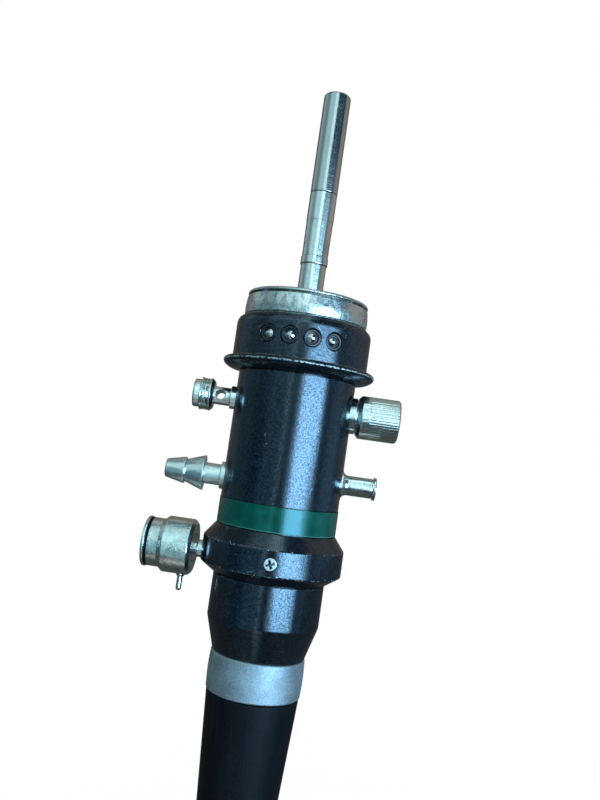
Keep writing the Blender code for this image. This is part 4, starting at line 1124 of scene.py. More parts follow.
@dataclass
class ContactRow:
    """The black contact ring with its four contacts."""

    radius: float = 20.3
    bore: float = 17.2
    base: float = -0.1
    shoulder: float = 10.7
    top: float = 12.8
    contact_height: float = 6.2
    azimuths: tuple[float, ...] = (-29.35, -10.85, 7.65, 26.15)
    insulator: float = 2.45
    chamfer: float = 1.7
    face_drop: float = 0.25
    floor_drop: float = 0.95
    recess: float = 1.8
    pin_bore: float = 1.0
    pin_shank: float = 0.85
    pin_head: float = 1.35
    dome: float = 1.75
    dome_rise: float = 0.65

    def build(self) -> None:
        """Builds the ring, the insulators and the pins."""
        outline = [
            (self.bore, self.base), (self.radius, self.base, 0.06),
            (self.radius, self.shoulder, 0.5), (self.radius - 0.51, self.shoulder + 1.16, 0.35),
            (self.radius - self.chamfer, self.top, 0.12), (self.bore, self.top),
        ]
        ring = Turning(outline).place(UPRIGHT)
        holes = cuts(self.hole(Axis(self.contact_height, azimuth)) for azimuth in self.azimuths)
        coat = BlackCoat(
            rings=(
                RingMark(self.radius - self.chamfer, self.top, 0.70, 0.36),
                RingMark(self.radius, self.shoulder, 0.5, 0.12),
                RingMark(self.radius, self.base, 0.5, 0.30),
            ),
            scratches=(
                Scratch(12.0, 9.2, 1.6, -35.0, 0.09),
                Scratch(36.0, 8.4, 1.1, 20.0, 0.06),
                Scratch(-38.0, 8.0, 1.2, 50.0, 0.06),
            ),
            scratch_radius=self.radius,
        )
        add_piece("contact_ring", carve(ring, holes), coat)
        for number, azimuth in enumerate(self.azimuths, 1):
            self.build_contact(number, Axis(self.contact_height, azimuth))

    def hole(self, axis: Axis) -> bmesh.types.BMesh:
        """The hole of one contact, with a small chamfer at the ring's face."""
        wide = self.insulator + 0.15
        outline = [
            (0, self.bore - 2), (wide, self.bore - 2), (wide, self.radius - 0.22),
            (wide + 0.25, self.radius + 0.05), (wide + 0.25, self.radius + 2), (0, self.radius + 2),
        ]
        return Turning(outline, SMALL).place(axis)

    def build_contact(self, number: int, axis: Axis) -> None:
        """One insulator and its pin.

        Args:
            number: the contact's number.
            axis: its axis.
        """
        face, floor = self.radius - self.face_drop, self.radius - self.floor_drop
        back = self.bore + 0.3
        outline = [
            (self.pin_bore, back), (self.insulator, back), (self.insulator, face, 0.15),
            (self.recess, face, 0.08), (self.recess, floor, 0.12), (self.pin_bore, floor),
        ]
        add_turned(f"contact_insulator_{number}", outline, Plastic(), SMALL, axis)
        base = floor + 0.15
        end = base + self.dome_rise
        dome = arc(0, end - self.dome, self.dome, 50.0, 90.0, 6)
        pin = [
            Corner(0, back - 0.3), Corner(self.pin_shank, back - 0.3),
            Corner(self.pin_shank, base), Corner(self.pin_head, base, 0.05),
            Corner(self.pin_head, base + 0.15, 0.06), *dome[:-1], Corner(0, end),
        ]
        bright = TurnedMetal(
            colour=(0.72, 0.72, 0.70), roughness=0.10, marks=0.2, tarnish_share=0.4, patch=0.9,
        )
        add_turned(f"contact_pin_{number}", pin, bright, SMALL, axis)


@dataclass
class Flange:
    """The mounting flange."""

    radius: float = 22.85
    face: float = 21.65
    foot: float = 18.1
    depth: float = 3.6
    bore: float = 16.6
    seat: float = 20.45
    seat_drop: float = 0.4
    rim_drop: float = 1.15

    def build(self) -> None:
        """Builds the flange."""
        outline = [
            (self.bore, -self.depth), (self.foot, -self.depth, 0.2),
            (self.foot + 2.61, -3.17, 0.6), (self.radius - 0.47, -2.15, 0.4),
            (self.radius, -self.rim_drop, 0.3), (self.radius - 0.36, -0.4, 0.25),
            (self.face, 0, 0.2), (self.seat, 0, 0.03), (self.seat, -self.seat_drop),
            (self.bore, -self.seat_drop),
        ]
        coat = BlackCoat(rings=(
            RingMark(self.radius, -self.rim_drop, 0.70, 0.31),
            RingMark(self.face, 0.0, 0.85, 0.35),
            RingMark(self.seat, 0.0, 0.35, 0.30),
        ), roughness=0.26, shine=0.55)
        add_turned("mounting_flange", outline, coat)


@dataclass
class Barrel:
    """The barrel and the green band on it."""

    radius: float = 17.6
    top: float = -3.9
    band_top: float = -41.4
    end: float = -60.65
    seat: float = 16.9
    bore: float = 15.5
    band_r: float = 17.75
    band_end: float = -48.7
    band_depth: float = 0.55
    band_gap: float = 0.15
    lip: float = 1.3
    holes_from: float = 12.0
    holes_to: float = 18.5

    def build(self, wall_holes: Sequence[tuple[float, Axis]]) -> None:
        """Builds the barrel and its band.

        Args:
            wall_holes: the radius and the axis of each hole through the wall.
        """
        outline = [
            (self.bore, self.end), (self.seat, self.end), (self.seat, self.band_top),
            (self.radius, self.band_top, 0.08), (self.radius, self.top, 0.05),
            (self.radius - self.lip, self.top), (self.radius - self.lip, 0), (self.bore, 0),
        ]
        blank = Turning(outline).place(UPRIGHT)
        start, end = self.holes_from, self.holes_to
        holes = cuts(rod(radius, start, end, axis) for radius, axis in wall_holes)
        coat = BlackCoat(
            rings=(RingMark(self.radius, self.top, 0.5, 0.16),),
            scratches=(
                Scratch(-22.0, -22.0, 0.9, 10.0, 0.07),
                Scratch(-19.5, -24.6, 0.6, 60.0, 0.06),
                Scratch(11.0, -24.5, 0.7, 90.0, 0.07),
                Scratch(24.0, -21.0, 0.9, 40.0, 0.06),
                Scratch(29.0, -35.5, 0.8, 5.0, 0.05),
                Scratch(-150.0, -30.0, 3.0, 12.0, 0.05),
                Scratch(130.0, -18.0, 2.2, -20.0, 0.05),
            ),
        )
        add_piece("barrel", carve(blank, holes), coat)
        self.build_band()

    def build_band(self) -> None:
        """The green band, with a lighter lower lip."""
        inner, top = self.band_r - self.band_depth, self.band_top - self.band_gap
        outline = [
            (inner, self.band_end), (self.band_r, self.band_end, 0.12),
            (self.band_r, top, 0.06), (inner, top),
        ]
        enamel = Enamel(lip=RingMark(self.band_r, self.band_end, 0.35, 0.8))
        add_turned("green_band", outline, enamel)


@dataclass
class Collar:
    """The flared collar and its two screws."""

    radius: float = 20.9
    top: float = -49.0
    land_top: float = -53.05
    land_end: float = -60.35
    end: float = -63.15
    bore: float = 17.2
    inner: float = 15.5
    screw_height: float = -56.9
    ledge: float = -60.95
    head: float = 1.8
    foot: float = 16.8
    top_r: float = 17.75
    screw_shank: float = 1.0
    screw_start: float = 13.9
    head_drop: float = 0.2
    head_seat: float = 0.95
    recess: tuple[float, float, float] = (2.6, 0.74, 1.2)
    recess_turns: tuple[float, float] = (20.0, 110.0)
    head_hole: tuple[float, float, float] = (1.95, 19.8, 23.0)
    screw_hole: tuple[float, float, float] = (1.15, 14.0, 20.5)
    vent_hole: tuple[float, float, float] = (2.75, 16.0, 23.0)

    def build(self, vent: Axis) -> None:
        """Builds the collar and the screws.

        Args:
            vent: the axis of the vent connector, whose neck passes the collar.
        """
        outline = [
            (self.bore, self.top), (self.bore, self.ledge), (self.inner, self.ledge),
            (self.inner, self.end), (self.foot, self.end, 0.15),
            (self.radius, self.land_end, 0.30), (self.radius, self.land_top, 0.30),
            (self.top_r, self.top, 0.10),
        ]
        sides = {"front": Axis(self.screw_height, 0.0), "back": Axis(self.screw_height, 180.0)}
        shapes = [rod(*hole, axis) for hole in (self.head_hole, self.screw_hole)
                  for axis in sides.values()]
        shapes.append(rod(*self.vent_hole, vent))
        coat = BlackCoat(
            rings=(
                RingMark(self.radius, self.land_top, 0.80, 0.17),
                RingMark(self.radius, self.land_end, 0.90, 0.21),
                RingMark(self.foot, self.end, 0.4, 0.12),
            ),
            scratches=(
                Scratch(-14.0, -59.6, 2.2, 75.0, 0.06),
                Scratch(-11.5, -60.4, 1.8, 40.0, 0.05),
                Scratch(-34.0, -53.0, 1.6, -50.0, 0.07),
                Scratch(-8.0, -60.8, 1.4, 100.0, 0.05),
                Scratch(22.0, -56.5, 1.0, 15.0, 0.05),
            ),
            scratch_radius=self.radius,
        )
        add_piece("collar", carve(Turning(outline).place(UPRIGHT), cuts(shapes)), coat)
        for side, axis in sides.items():
            self.build_screw(side, axis)

    def build_screw(self, side: str, axis: Axis) -> None:
        """One screw with a cross recess in its head.

        Args:
            side: which side of the collar it is on.
            axis: its axis.
        """
        top, base = self.radius - self.head_drop, self.radius - self.head_seat
        outline = [
            (0, self.screw_start), (self.screw_shank, self.screw_start), (self.screw_shank, base),
            (self.head, base), (self.head, top - 0.10, 0.06), (self.head - 0.15, top, 0.06),
            (0, top),
        ]
        blank = Turning(outline, SMALL).place(axis)
        slots = []
        for turn in self.recess_turns:
            slot = bmesh.new()
            bmesh.ops.create_cube(slot, size=1.0)
            shape = Matrix.Diagonal((*(size * MM for size in self.recess), 1.0))
            turned = Matrix.Rotation(math.radians(turn), 4, "Z")
            height = Matrix.Translation((0, 0, top * MM))
            place = axis.matrix() @ height @ turned @ shape
            bmesh.ops.transform(slot, matrix=place, verts=slot.verts)
            slots.append(slot)
        # The head's sides and its cross recess, all under just below its top, are painted near black
        # as painted shade.
        bright = TurnedMetal(
            colour=(0.92, 0.92, 0.90), roughness=0.38, tarnish_and_shade=(0.010, 0.011, 0.012),
            tarnish_share=0.15, patch=0.6, blotches=0.9, painted_shade_floor=top - 0.12,
        )
        add_piece(f"collar_screw_{side}", carve(blank, cuts(slots)), bright, axis)


@dataclass
class Rear:
    """The rear housing, the silver ring nut and the boot."""

    housing: float = 16.5
    housing_top: float = -63.45
    spigot: float = 15.2
    spigot_top: float = -55.15
    land_end: float = -75.85
    foot: float = 13.7
    housing_end: float = -85.15
    tail: float = 11.5
    tail_end: float = -91.85
    nut: float = 13.9
    nut_end: float = -96.55
    boot_top: float = -96.85
    boot_top_r: float = 13.65
    boot_end_r: float = 8.8
    boot_end: float = -176.35
    boot_bore: float = 6.3
    housing_wall: float = 2.2
    tail_wall: float = 2.5
    groove: float = 1.0
    groove_drop: float = 1.05
    groove_width: float = 1.3
    gap: float = 0.3
    nut_chamfer: float = 0.3
    nut_bulge: float = 0.25
    end_round: float = 0.8
    boot_cuts: int = 19

    def build(self) -> None:
        """Builds the three pieces."""
        self.build_housing()
        self.build_nut()
        self.build_boot()

    def build_housing(self) -> None:
        """The black housing that tapers to the ring nut."""
        groove, groove_end = self.spigot - self.groove, self.housing_top + self.groove_drop
        outline = [
            (self.spigot - self.housing_wall, self.spigot_top),
            (self.spigot - self.housing_wall, self.land_end),
            (self.tail - self.tail_wall, self.housing_end),
            (self.tail - self.tail_wall, self.tail_end), (self.tail, self.tail_end),
            (self.tail, self.housing_end), (self.foot, self.housing_end, 0.15),
            (self.housing, self.land_end, 0.35), (self.housing, self.housing_top, 0.2),
            (self.spigot, self.housing_top), (self.spigot, groove_end), (groove, groove_end),
            (groove, groove_end + self.groove_width),
            (self.spigot, groove_end + self.groove_width), (self.spigot, self.spigot_top),
        ]
        coat = BlackCoat(
            rings=(
                RingMark(self.housing, self.housing_top, 0.45, 0.18),
                RingMark(self.foot, self.housing_end, 0.4, 0.16),
            ),
            dots=0.06,
        )
        add_turned("rear_housing", outline, coat)

    def build_nut(self) -> None:
        """The satin silver ring nut."""
        top, chamfer = self.housing_end - self.gap, self.nut_chamfer
        middle = (top + self.nut_end) / 2
        bore = self.tail + self.gap
        outline = [
            (bore, self.nut_end), (self.nut - chamfer, self.nut_end, 0.06),
            (self.nut, self.nut_end + chamfer, 0.12), (self.nut + self.nut_bulge, middle, 2.0),
            (self.nut, top - chamfer, 0.12), (self.nut - chamfer, top, 0.06), (bore, top),
        ]
        add_turned("ring_nut", outline, SatinMetal())

    def build_boot(self) -> None:
        """The long tapered rubber boot."""
        neck_top = self.tail_end - self.gap
        outline = [
            (self.boot_bore, self.boot_end),
            (self.boot_end_r - self.end_round, self.boot_end, 0.2),
            (self.boot_end_r, self.boot_end + self.end_round, 0.4),
            (self.boot_top_r, self.boot_top, 0.35), (self.tail, self.boot_top),
            (self.tail, neck_top), (self.boot_bore, neck_top),
        ]
        shape = Turning(outline)
        shape.split_rings(self.boot_end + 3 + 4 * number for number in range(self.boot_cuts))
        add_piece("boot", shape.place(UPRIGHT), Rubber())


@dataclass
class WallFitting:
    """A turned fitting on the barrel's wall, with a foot shaped to the barrel.

    Attributes:
        name: its node's name.
        axis: its axis.
        shank: the radius of the shank through the wall.
        outline: the part outside the wall, from the foot outwards, as (radius, height over
            the barrel[, rounding]).
        bore: the radius of its bore, or 0.
        shank_end: where the shank ends inside, along the axis.
        barrel: the barrel's radius.
        saddle_gap: the clearance under the foot.
        root: how far the uncut shape starts under the foot's lowest point.
        lap: how far the shank reaches into the foot.
        finish: its finish.
    """

    name: str
    axis: Axis
    shank: float
    outline: list[tuple]
    bore: float = 0.0
    shank_end: float = 12.48
    barrel: float = 17.6
    saddle_gap: float = 0.03
    root: float = 0.6
    lap: float = 0.8
    finish: TurnedMetal = field(default_factory=lambda: TurnedMetal(
        colour=(0.80, 0.86, 0.82), roughness=0.19, tarnish_share=0.45, patch=2.2, stripes=0.08,
    ))

    def shape(self, segments: int = MIDDLE) -> Turning:
        """The part outside the wall, as a solid that starts under the barrel's surface."""
        foot = self.outline[0][0]
        sag = self.barrel - math.sqrt(self.barrel ** 2 - foot ** 2)
        root = self.barrel - sag - self.root
        placed = [(corner[0], self.barrel + corner[1], *corner[2:]) for corner in self.outline]
        return Turning([(0, root), (foot, root), *placed, (0, placed[-1][1])], segments)

    def build(self, shape: Turning | None = None,
              holes: Sequence[bmesh.types.BMesh] = ()) -> None:
        """Builds the fitting.

        Args:
            shape: the part outside the wall, where it has more than its outline.
            holes: shapes to cut out of it.
        """
        bm = (shape or self.shape()).place(self.axis)
        tip = self.barrel + self.outline[-1][1]
        saddle = rod(self.barrel + self.saddle_gap, -62.0, 20.0, UPRIGHT, FINE)
        shank = rod(self.shank, self.shank_end, self.barrel + self.lap, self.axis)
        steps = [(Carving.CUT, saddle), (Carving.JOIN, shank)]
        if self.bore:
            steps += cuts([rod(self.bore, self.shank_end - 1, tip + 1, self.axis)])
        add_piece(self.name, carve(bm, [*steps, *cuts(holes)]), self.finish, self.axis)

    def wall_hole(self) -> tuple[float, Axis]:
        """The radius and the axis of the hole that it needs in the wall."""
        return self.shank + 0.3, self.axis


def cut_thread(shape: Turning, start: float, end: float, radius: float, pitch: float,
               depth: float) -> None:
    """Forms a thread on a turned shape before it is placed.

    Args:
        shape: the shape, along local Z.
        start: where the thread starts.
        end: where it ends.
        radius: the radius over its crests.
        pitch: its pitch.
        depth: its depth.
    """
    rows = round((end - start) / pitch * 8)
    shape.split_rings([start + (end - start) * row / rows for row in range(rows + 1)])
    for vert in shape.bm.verts:
        height, reach = vert.co.z / MM, math.hypot(vert.co.x, vert.co.y) / MM
        if start <= height <= end and abs(reach - radius) < 0.01:
            phase = (height / pitch - math.atan2(vert.co.y, vert.co.x) / (2 * math.pi)) % 1.0
            fade = min(1.0, (height - start) / pitch, (end - height) / pitch)
            cut = depth * abs(2 * phase - 1) * max(0.0, fade)
            vert.co.xy *= (reach - cut) / reach


@dataclass
class EarthTerminal:
    """The earth terminal post: boss, drilled neck, threaded head and nose."""

    axis: Axis = Axis(-12.2, -90.0)
    neck: float = 2.7
    head: float = 4.9
    thread_start: float = 7.28
    thread_end: float = 10.3
    pitch: float = 0.75
    depth: float = 0.46
    hole: float = 1.4
    hole_out: float = 4.3
    hole_turn: float = 9.0
    hole_reach: float = 9.0
    hole_chamfer: float = 0.2
    fitting: WallFitting = field(init=False)

    def __post_init__(self) -> None:
        """Works out the fitting's outline."""
        self.fitting = WallFitting("terminal_post", self.axis, 2.0, [
            (3.45, 1.4, 0.12), (self.neck + 0.15, 1.4), (self.neck, 1.6), (self.neck, 6.4),
            (4.02, 6.4, 0.1), (self.head, self.thread_start, 0.06), (self.head, self.thread_end, 0.06),
            (4.2, 10.6), (4.2, 12.2, 0.12), (3.9, 12.5, 0.1),
        ], shank_end=12.69)

    def build(self) -> None:
        """Builds the post with its thread and its cross hole."""
        shape = self.fitting.shape(96)
        surface = self.fitting.barrel
        cut_thread(
            shape, surface + self.thread_start + 0.1, surface + self.thread_end - 0.1,
            self.head, self.pitch, self.depth,
        )
        edge = self.neck - 0.05
        wide, reach = self.hole + self.hole_chamfer, self.hole_reach
        across = Turning([
            (0, -reach), (wide, -reach), (wide, -edge), (self.hole, self.hole_chamfer - edge),
            (self.hole, edge - self.hole_chamfer), (wide, edge), (wide, reach), (0, reach),
        ], SMALL)
        turn = Matrix.Rotation(math.radians(90 - self.hole_turn), 4, "X")
        spot = Matrix.Translation((-(surface + self.hole_out) * MM, 0, self.axis.height * MM))
        bmesh.ops.transform(across.bm, matrix=spot @ turn, verts=across.bm.verts)
        self.fitting.build(shape, [across.bm])


@dataclass
class SuctionNipple:
    """The suction nipple with its two barbs."""

    axis: Axis = Axis(-35.6, -90.0)
    fitting: WallFitting = field(init=False)

    def __post_init__(self) -> None:
        """Works out the fitting's outline."""
        self.fitting = WallFitting("suction_nipple", self.axis, 2.6, [
            (4.05, 0.95, 0.15), (3.3, 0.95), (3.15, 1.1), (3.15, 5.9),
            (5.2, 5.9, 0.06), (5.2, 6.15, 0.08), (3.3, 11.6),
            (3.95, 11.6, 0.06), (3.95, 11.85, 0.08), (2.75, 17.15, 0.15), (2.5, 17.4, 0.08),
        ], bore=1.9, finish=TurnedMetal(
            colour=(0.84, 0.88, 0.84), roughness=0.30, tarnish_share=0.35, patch=2.2,
            blotches=0.6, stripes=0.10,
        ))

    def build(self) -> None:
        """Builds the nipple."""
        self.fitting.build()


@dataclass
class AirTube:
    """The plain air tube with its flared foot and the groove behind its lip."""

    axis: Axis = Axis(-33.4, 90.0)
    fitting: WallFitting = field(init=False)

    def __post_init__(self) -> None:
        """Works out the fitting's outline."""
        turns = [math.radians(15 * step) for step in range(1, 7)]
        flare = [(4.5 - 1.55 * math.sin(t), 1.7 - 1.7 * math.cos(t)) for t in turns]
        self.fitting = WallFitting("air_tube", self.axis, 2.6, [
            (4.5, 0), *flare, (2.95, 8.95, 0.05), (2.7, 9.0), (2.7, 9.3), (3.4, 9.3, 0.1),
            (3.4, 10.1, 0.18),
        ], bore=1.9)

    def build(self) -> None:
        """Builds the tube."""
        self.fitting.build()


@dataclass
class Port:
    """The port stub and the fluted screw cap on it."""

    axis: Axis = Axis(-12.65, 90.0)
    cap: float = 6.5
    cap_start: float = 19.3
    cap_end: float = 31.8
    chamfer: float = 1.0
    plain: float = 2.3
    flutes: int = 48
    flute_depth: float = 0.045
    bore: float = 4.2
    bore_end: float = 29.6
    mouth: float = 5.5
    end: float = 6.0
    fitting: WallFitting = field(init=False)

    def __post_init__(self) -> None:
        """Works out the stub's outline."""
        self.fitting = WallFitting("port_stub", self.axis, 3.0, [
            (5.4, 1.4, 0.2), (3.9, 1.4), (3.9, 10.1, 0.05), (3.6, 10.4, 0.05),
        ], bore=1.6, shank_end=12.32)

    def build(self) -> None:
        """Builds the stub and the cap."""
        self.fitting.build()
        self.build_cap()

    def build_cap(self) -> None:
        """The cap: a plain collar, then fine straight flutes to its outer end."""
        flute_start = self.cap_start + self.chamfer + self.plain
        flute_end = self.cap_end - 0.5
        outline = [
            (0, self.bore_end), (self.bore, self.bore_end), (self.bore, self.cap_start),
            (self.mouth, self.cap_start, 0.15), (self.cap, self.cap_start + self.chamfer, 0.15),
            (self.cap, flute_start), (self.cap, flute_start + 0.45), (self.cap, flute_end, 0.05),
            (self.end, self.cap_end, 0.15), (0, self.cap_end),
        ]
        shape = Turning(outline, self.flutes * 10)
        for vert in shape.bm.verts:
            height, reach = vert.co.z / MM, math.hypot(vert.co.x, vert.co.y) / MM
            if height > flute_start + 0.2 and reach > self.cap - 0.3:
                turn = math.atan2(vert.co.y, vert.co.x) * self.flutes
                hollow = 0.5 + 0.5 * math.cos(turn)
                vert.co.xy *= 1 - self.flute_depth * hollow ** 2 / reach
        steel = TurnedMetal(
            colour=(0.80, 0.84, 0.80), roughness=0.22, marks=0.3, streaks=0.2, tarnish_share=0.35,
            patch=3.0, stripes=0.20,
        )
        add_piece("knurled_cap", shape.place(self.axis), steel, self.axis, Body.CAP)


@dataclass
class VentConnector:
    """The vent connector on the collar, with its key pin and sprung valve."""

    axis: Axis = Axis(-58.1, -94.0)
    body_start: float = 23.3
    body: float = 8.3
    step: float = 31.8
    nose: float = 7.2
    nose_end: float = 36.3
    land_end: float = 37.6
    mouth: float = 5.2
    floor: float = 32.2
    web: float = 31.0
    chamber: float = 4.2
    pin_out: float = 26.35
    spring: float = 1.9
    wire: float = 0.25
    spring_start: float = 25.1
    spring_end: float = 28.55
    turns: int = 3
    travel: float = 1.5
    coil_facets: int = 32
    back_chamfer: float = 0.9
    slope: float = 1.3
    stem_hole: float = 1.7
    neck: float = 2.6
    neck_bore: float = 1.1
    neck_waist: float = 2.0
    neck_start: float = 17.5
    stem: float = 0.8
    stem_start: float = 20.75
    poppet: float = 3.2
    poppet_start: float = 28.85
    poppet_end: float = 29.85
    tip: float = 1.2
    tip_end: float = 33.2
    seat: float = 6.0
    ring_bore: float = 6.15
    ring: float = 7.2
    rim: float = 7.45
    pin: float = 0.83
    pin_start: float = 6.3
    pin_foot: float = 8.45
    pin_end: float = 13.2
    pin_hole: float = 0.98
    metal: TurnedMetal = field(default_factory=lambda: TurnedMetal(
        colour=(0.80, 0.89, 0.86), roughness=0.19, marks=0.8, pitch=0.10, tarnish_share=0.50,
        patch=2.5, streaks=0.1, dents=2.6, scuffs=1.0,
    ))

    def build(self) -> None:
        """Builds every piece of the connector."""
        self.build_neck()
        self.build_body()
        self.build_rim()
        self.build_key_pin()
        self.build_valve()
        self.build_spring()

    def build_neck(self) -> None:
        """The neck that screws into the collar and closes the back of the body."""
        plug, plug_end = self.chamber - 0.3, self.body_start + 1.5
        add_turned("vent_neck", [
            (self.neck_bore, self.neck_start), (self.neck, self.neck_start), (self.neck, 22.2, 0.1),
            (self.neck_waist, 22.5), (self.neck_waist, self.body_start),
            (plug, self.body_start), (plug, plug_end), (self.neck_bore, plug_end),
        ], self.metal, MIDDLE, self.axis)

    def build_body(self) -> None:
        """The body: back chamfer, wide land, sloped step, narrow land and mouth."""
        outline = [
            (self.chamber, self.body_start),
            (self.body - self.back_chamfer, self.body_start, 0.15),
            (self.body, self.body_start + self.back_chamfer, 0.15),
            (self.body, self.step, 0.10), (self.nose, self.step + self.slope, 0.12),
            (self.nose, self.nose_end, 0.12), (self.seat, self.nose_end),
            (self.seat, self.land_end), (self.mouth, self.land_end, 0.1),
            (self.mouth, self.floor, 0.15), (self.stem_hole, self.floor, 0.1),
            (self.stem_hole, self.web), (self.chamber, self.web),
        ]
        blank = Turning(outline, MIDDLE).place(self.axis)
        hole = rod(self.pin_hole, self.pin_start - 0.3, self.pin_foot + 0.15, UPRIGHT)
        bmesh.ops.transform(hole, matrix=self.pin_matrix(), verts=hole.verts)
        add_piece("vent_body", carve(blank, cuts([hole])), self.metal, self.axis)

    def pin_matrix(self) -> Matrix:
        """The key pin's frame: across the connector's axis, pointing down."""
        out = Matrix.Translation((0, 0, self.pin_out * MM))
        return self.axis.matrix() @ out @ Matrix.Rotation(math.radians(90), 4, "X")

    def build_rim(self) -> None:
        """The rubber ring and the rim in front of it."""
        add_turned("vent_o_ring", [
            (self.ring_bore, 36.45), (self.ring, 36.45, 0.18),
            (self.ring, 36.95, 0.18), (self.ring_bore, 36.95),
        ], Rubber(streaks=0.0, grain=0.12), MIDDLE, self.axis)
        add_turned("vent_rim", [
            (self.ring_bore, 37.1), (self.rim, 37.1, 0.12),
            (self.rim, 38.05, 0.35), (self.ring_bore, 38.05, 0.15),
        ], self.metal, MIDDLE, self.axis)

    def build_key_pin(self) -> None:
        """The key pin, flared where it leaves the body and rounded at its end."""
        pin, foot, end = self.pin, self.pin_foot, self.pin_end
        tip = arc(0, end - pin, pin, 0.0, 90.0, 6)
        outline = [
            Corner(0, self.pin_start), Corner(pin, self.pin_start), Corner(pin, foot),
            Corner(1.35, foot, 0.08), Corner(1.15, 8.75, 0.1), Corner(pin, 9.05),
            *tip[:-1], Corner(0, end),
        ]
        shape = Turning(outline, SMALL)
        bmesh.ops.transform(shape.bm, matrix=self.pin_matrix(), verts=shape.bm.verts)
        bright = TurnedMetal(roughness=0.12, marks=0.2, patch=1.5)
        add_piece("key_pin", shape.bm, bright, self.axis)

    def build_valve(self) -> None:
        """The valve poppet, whose stem shows in the mouth."""
        bright = TurnedMetal(roughness=0.14, marks=0.4, patch=1.5)
        add_turned("vent_poppet", [
            (0, self.stem_start), (self.stem, self.stem_start), (self.stem, self.poppet_start),
            (self.poppet, self.poppet_start, 0.1), (self.poppet, self.poppet_end, 0.1),
            (self.tip, self.poppet_end), (self.tip, self.tip_end, 0.3), (0, self.tip_end),
        ], bright, SMALL, self.axis, Body.VALVE)

    def build_spring(self) -> None:
        """The spring behind the poppet, built at its rest length; the real one is squeezed as the
        valve is pushed in.
        """
        low, high = self.spring_start, self.spring_end
        steps = self.turns * self.coil_facets
        bm = bmesh.new()
        bmesh.ops.create_circle(bm, cap_ends=True, radius=self.wire * MM, segments=12)
        middle = Matrix.Translation((self.spring * MM, 0, low * MM))
        stand = middle @ Matrix.Rotation(math.radians(90), 4, "X")
        bmesh.ops.transform(bm, matrix=stand, verts=bm.verts)
        bmesh.ops.spin(
            bm, geom=[*bm.verts, *bm.edges, *bm.faces], cent=(0, 0, 0), axis=(0, 0, 1),
            dvec=(0, 0, (high - low) * MM / steps), angle=self.turns * 2 * math.pi, steps=steps,
        )
        bmesh.ops.remove_doubles(bm, verts=bm.verts, dist=WELD)
        bmesh.ops.recalc_face_normals(bm, faces=bm.faces)
        bmesh.ops.transform(bm, matrix=self.axis.matrix(), verts=bm.verts)
        wire = TurnedMetal(slot=Slot.SPRING_STEEL, roughness=0.22, marks=0.1, streaks=0.1)
        made = add_piece("vent_spring", bm, wire, self.axis)
        out = self.axis.matrix().to_3x3() @ Vector((0, 0, 1))
        anchor = self.axis.matrix() @ Vector((0, 0, (low - self.wire) * MM))
        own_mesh(made)


@dataclass
class InnerPieces:
    """The pieces inside the plug, which keep their own shapes and get their finishes."""

    finishes: tuple[tuple[Finish, tuple[str, ...]], ...] = (
        (Rubber(streaks=0.0), ("front_o_ring", "housing_o_ring", "cap_gasket", "vent_valve_seal")),
        (Plastic(roughness=0.35), ("contact_carrier",)),
        (Fibres(), ("light_guide_bundle",)),
        (TurnedMetal(slot=Slot.ALUMINIUM, roughness=0.3),
         ("cord_clamp", "rear_bulkhead", "frame_rod_1", "frame_rod_2", "frame_rod_3")),
    )
    other: Finish = TurnedMetal(roughness=0.25)

    def dress(self) -> None:
        """Gives each node that is still shown its material."""
        chosen = {name: finish for finish, names in self.finishes for name in names}
        for name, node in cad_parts.items():
            if node.hide_render:
                continue
            finish = chosen.get(name, self.other)
            node.data.materials.clear()
            node.data.materials.append(finish.material(name, UPRIGHT))
            log.info("%s keeps its shape and gets %s", name, finish.slot.value)


@dataclass(frozen=True)
class Glow:
    """A soft-edged patch of the studio's surroundings, as seen from the object.

    Attributes:
        azimuth: its middle's heading in degrees from -Y, the camera's side, towards +X.
        half_width: half its width in degrees.
        low: its lower edge in degrees over the horizon.
        high: its upper edge.
        colour: its colour, over 1 where it is bright.
        soft: half the width of its soft edge in degrees.
    """

    azimuth: float
    half_width: float
    low: float
    high: float
    colour: Colour
    soft: float


@dataclass
class Card:
    """The card just behind the camera, dark below, which only reflections show.

    Attributes:
        middle_x: where its middle lies across.
        away: where it stands along Y.
        width: its width.
        low: the height of its lower edge.
        high: the height of its upper edge.
        split: the height at which its two colours meet.
        soft: how far they blend into each other, up and down.
        lower: the colour that it shines with below.
        upper: the colour above.
        base: its own colour.
    """

    middle_x: float = -2.5
    away: float = -245.0
    width: float = 67.0
    low: float = -190.0
    high: float = 60.0
    split: float = -20.0
    soft: float = 12.0
    lower: Colour = (0.0, 0.02, 0.06)
    upper: Colour = (0.11, 0.28, 0.36)
    base: Colour = (0.01, 0.01, 0.01)

    def build(self) -> None:
        """Builds the card."""
        bm = bmesh.new()
        bmesh.ops.create_grid(bm, x_segments=1, y_segments=1, size=0.5)
        spot = Vector((self.middle_x, self.away, (self.low + self.high) / 2)) * MM
        middle = Matrix.Translation(spot)
        stand = Matrix.Rotation(math.radians(90), 4, "X")
        size = Matrix.Diagonal((self.width * MM, (self.high - self.low) * MM, 1.0, 1.0))
        bmesh.ops.transform(bm, matrix=middle @ stand @ size, verts=bm.verts)
        card = to_object("card", bm)
        card.visible_camera = False
        material, graph, shader = new_material("dark_card", self.base, 1.0)
        height = Place(graph, UPRIGHT).height
        upper = height.step((self.split - self.soft) * MM, (self.split + self.soft) * MM)
        graph.feed(shader["Emission Color"], graph.blend(upper, self.lower, self.upper))
        shader["Emission Strength"].default_value = 1.0
        card.data.materials.append(material)


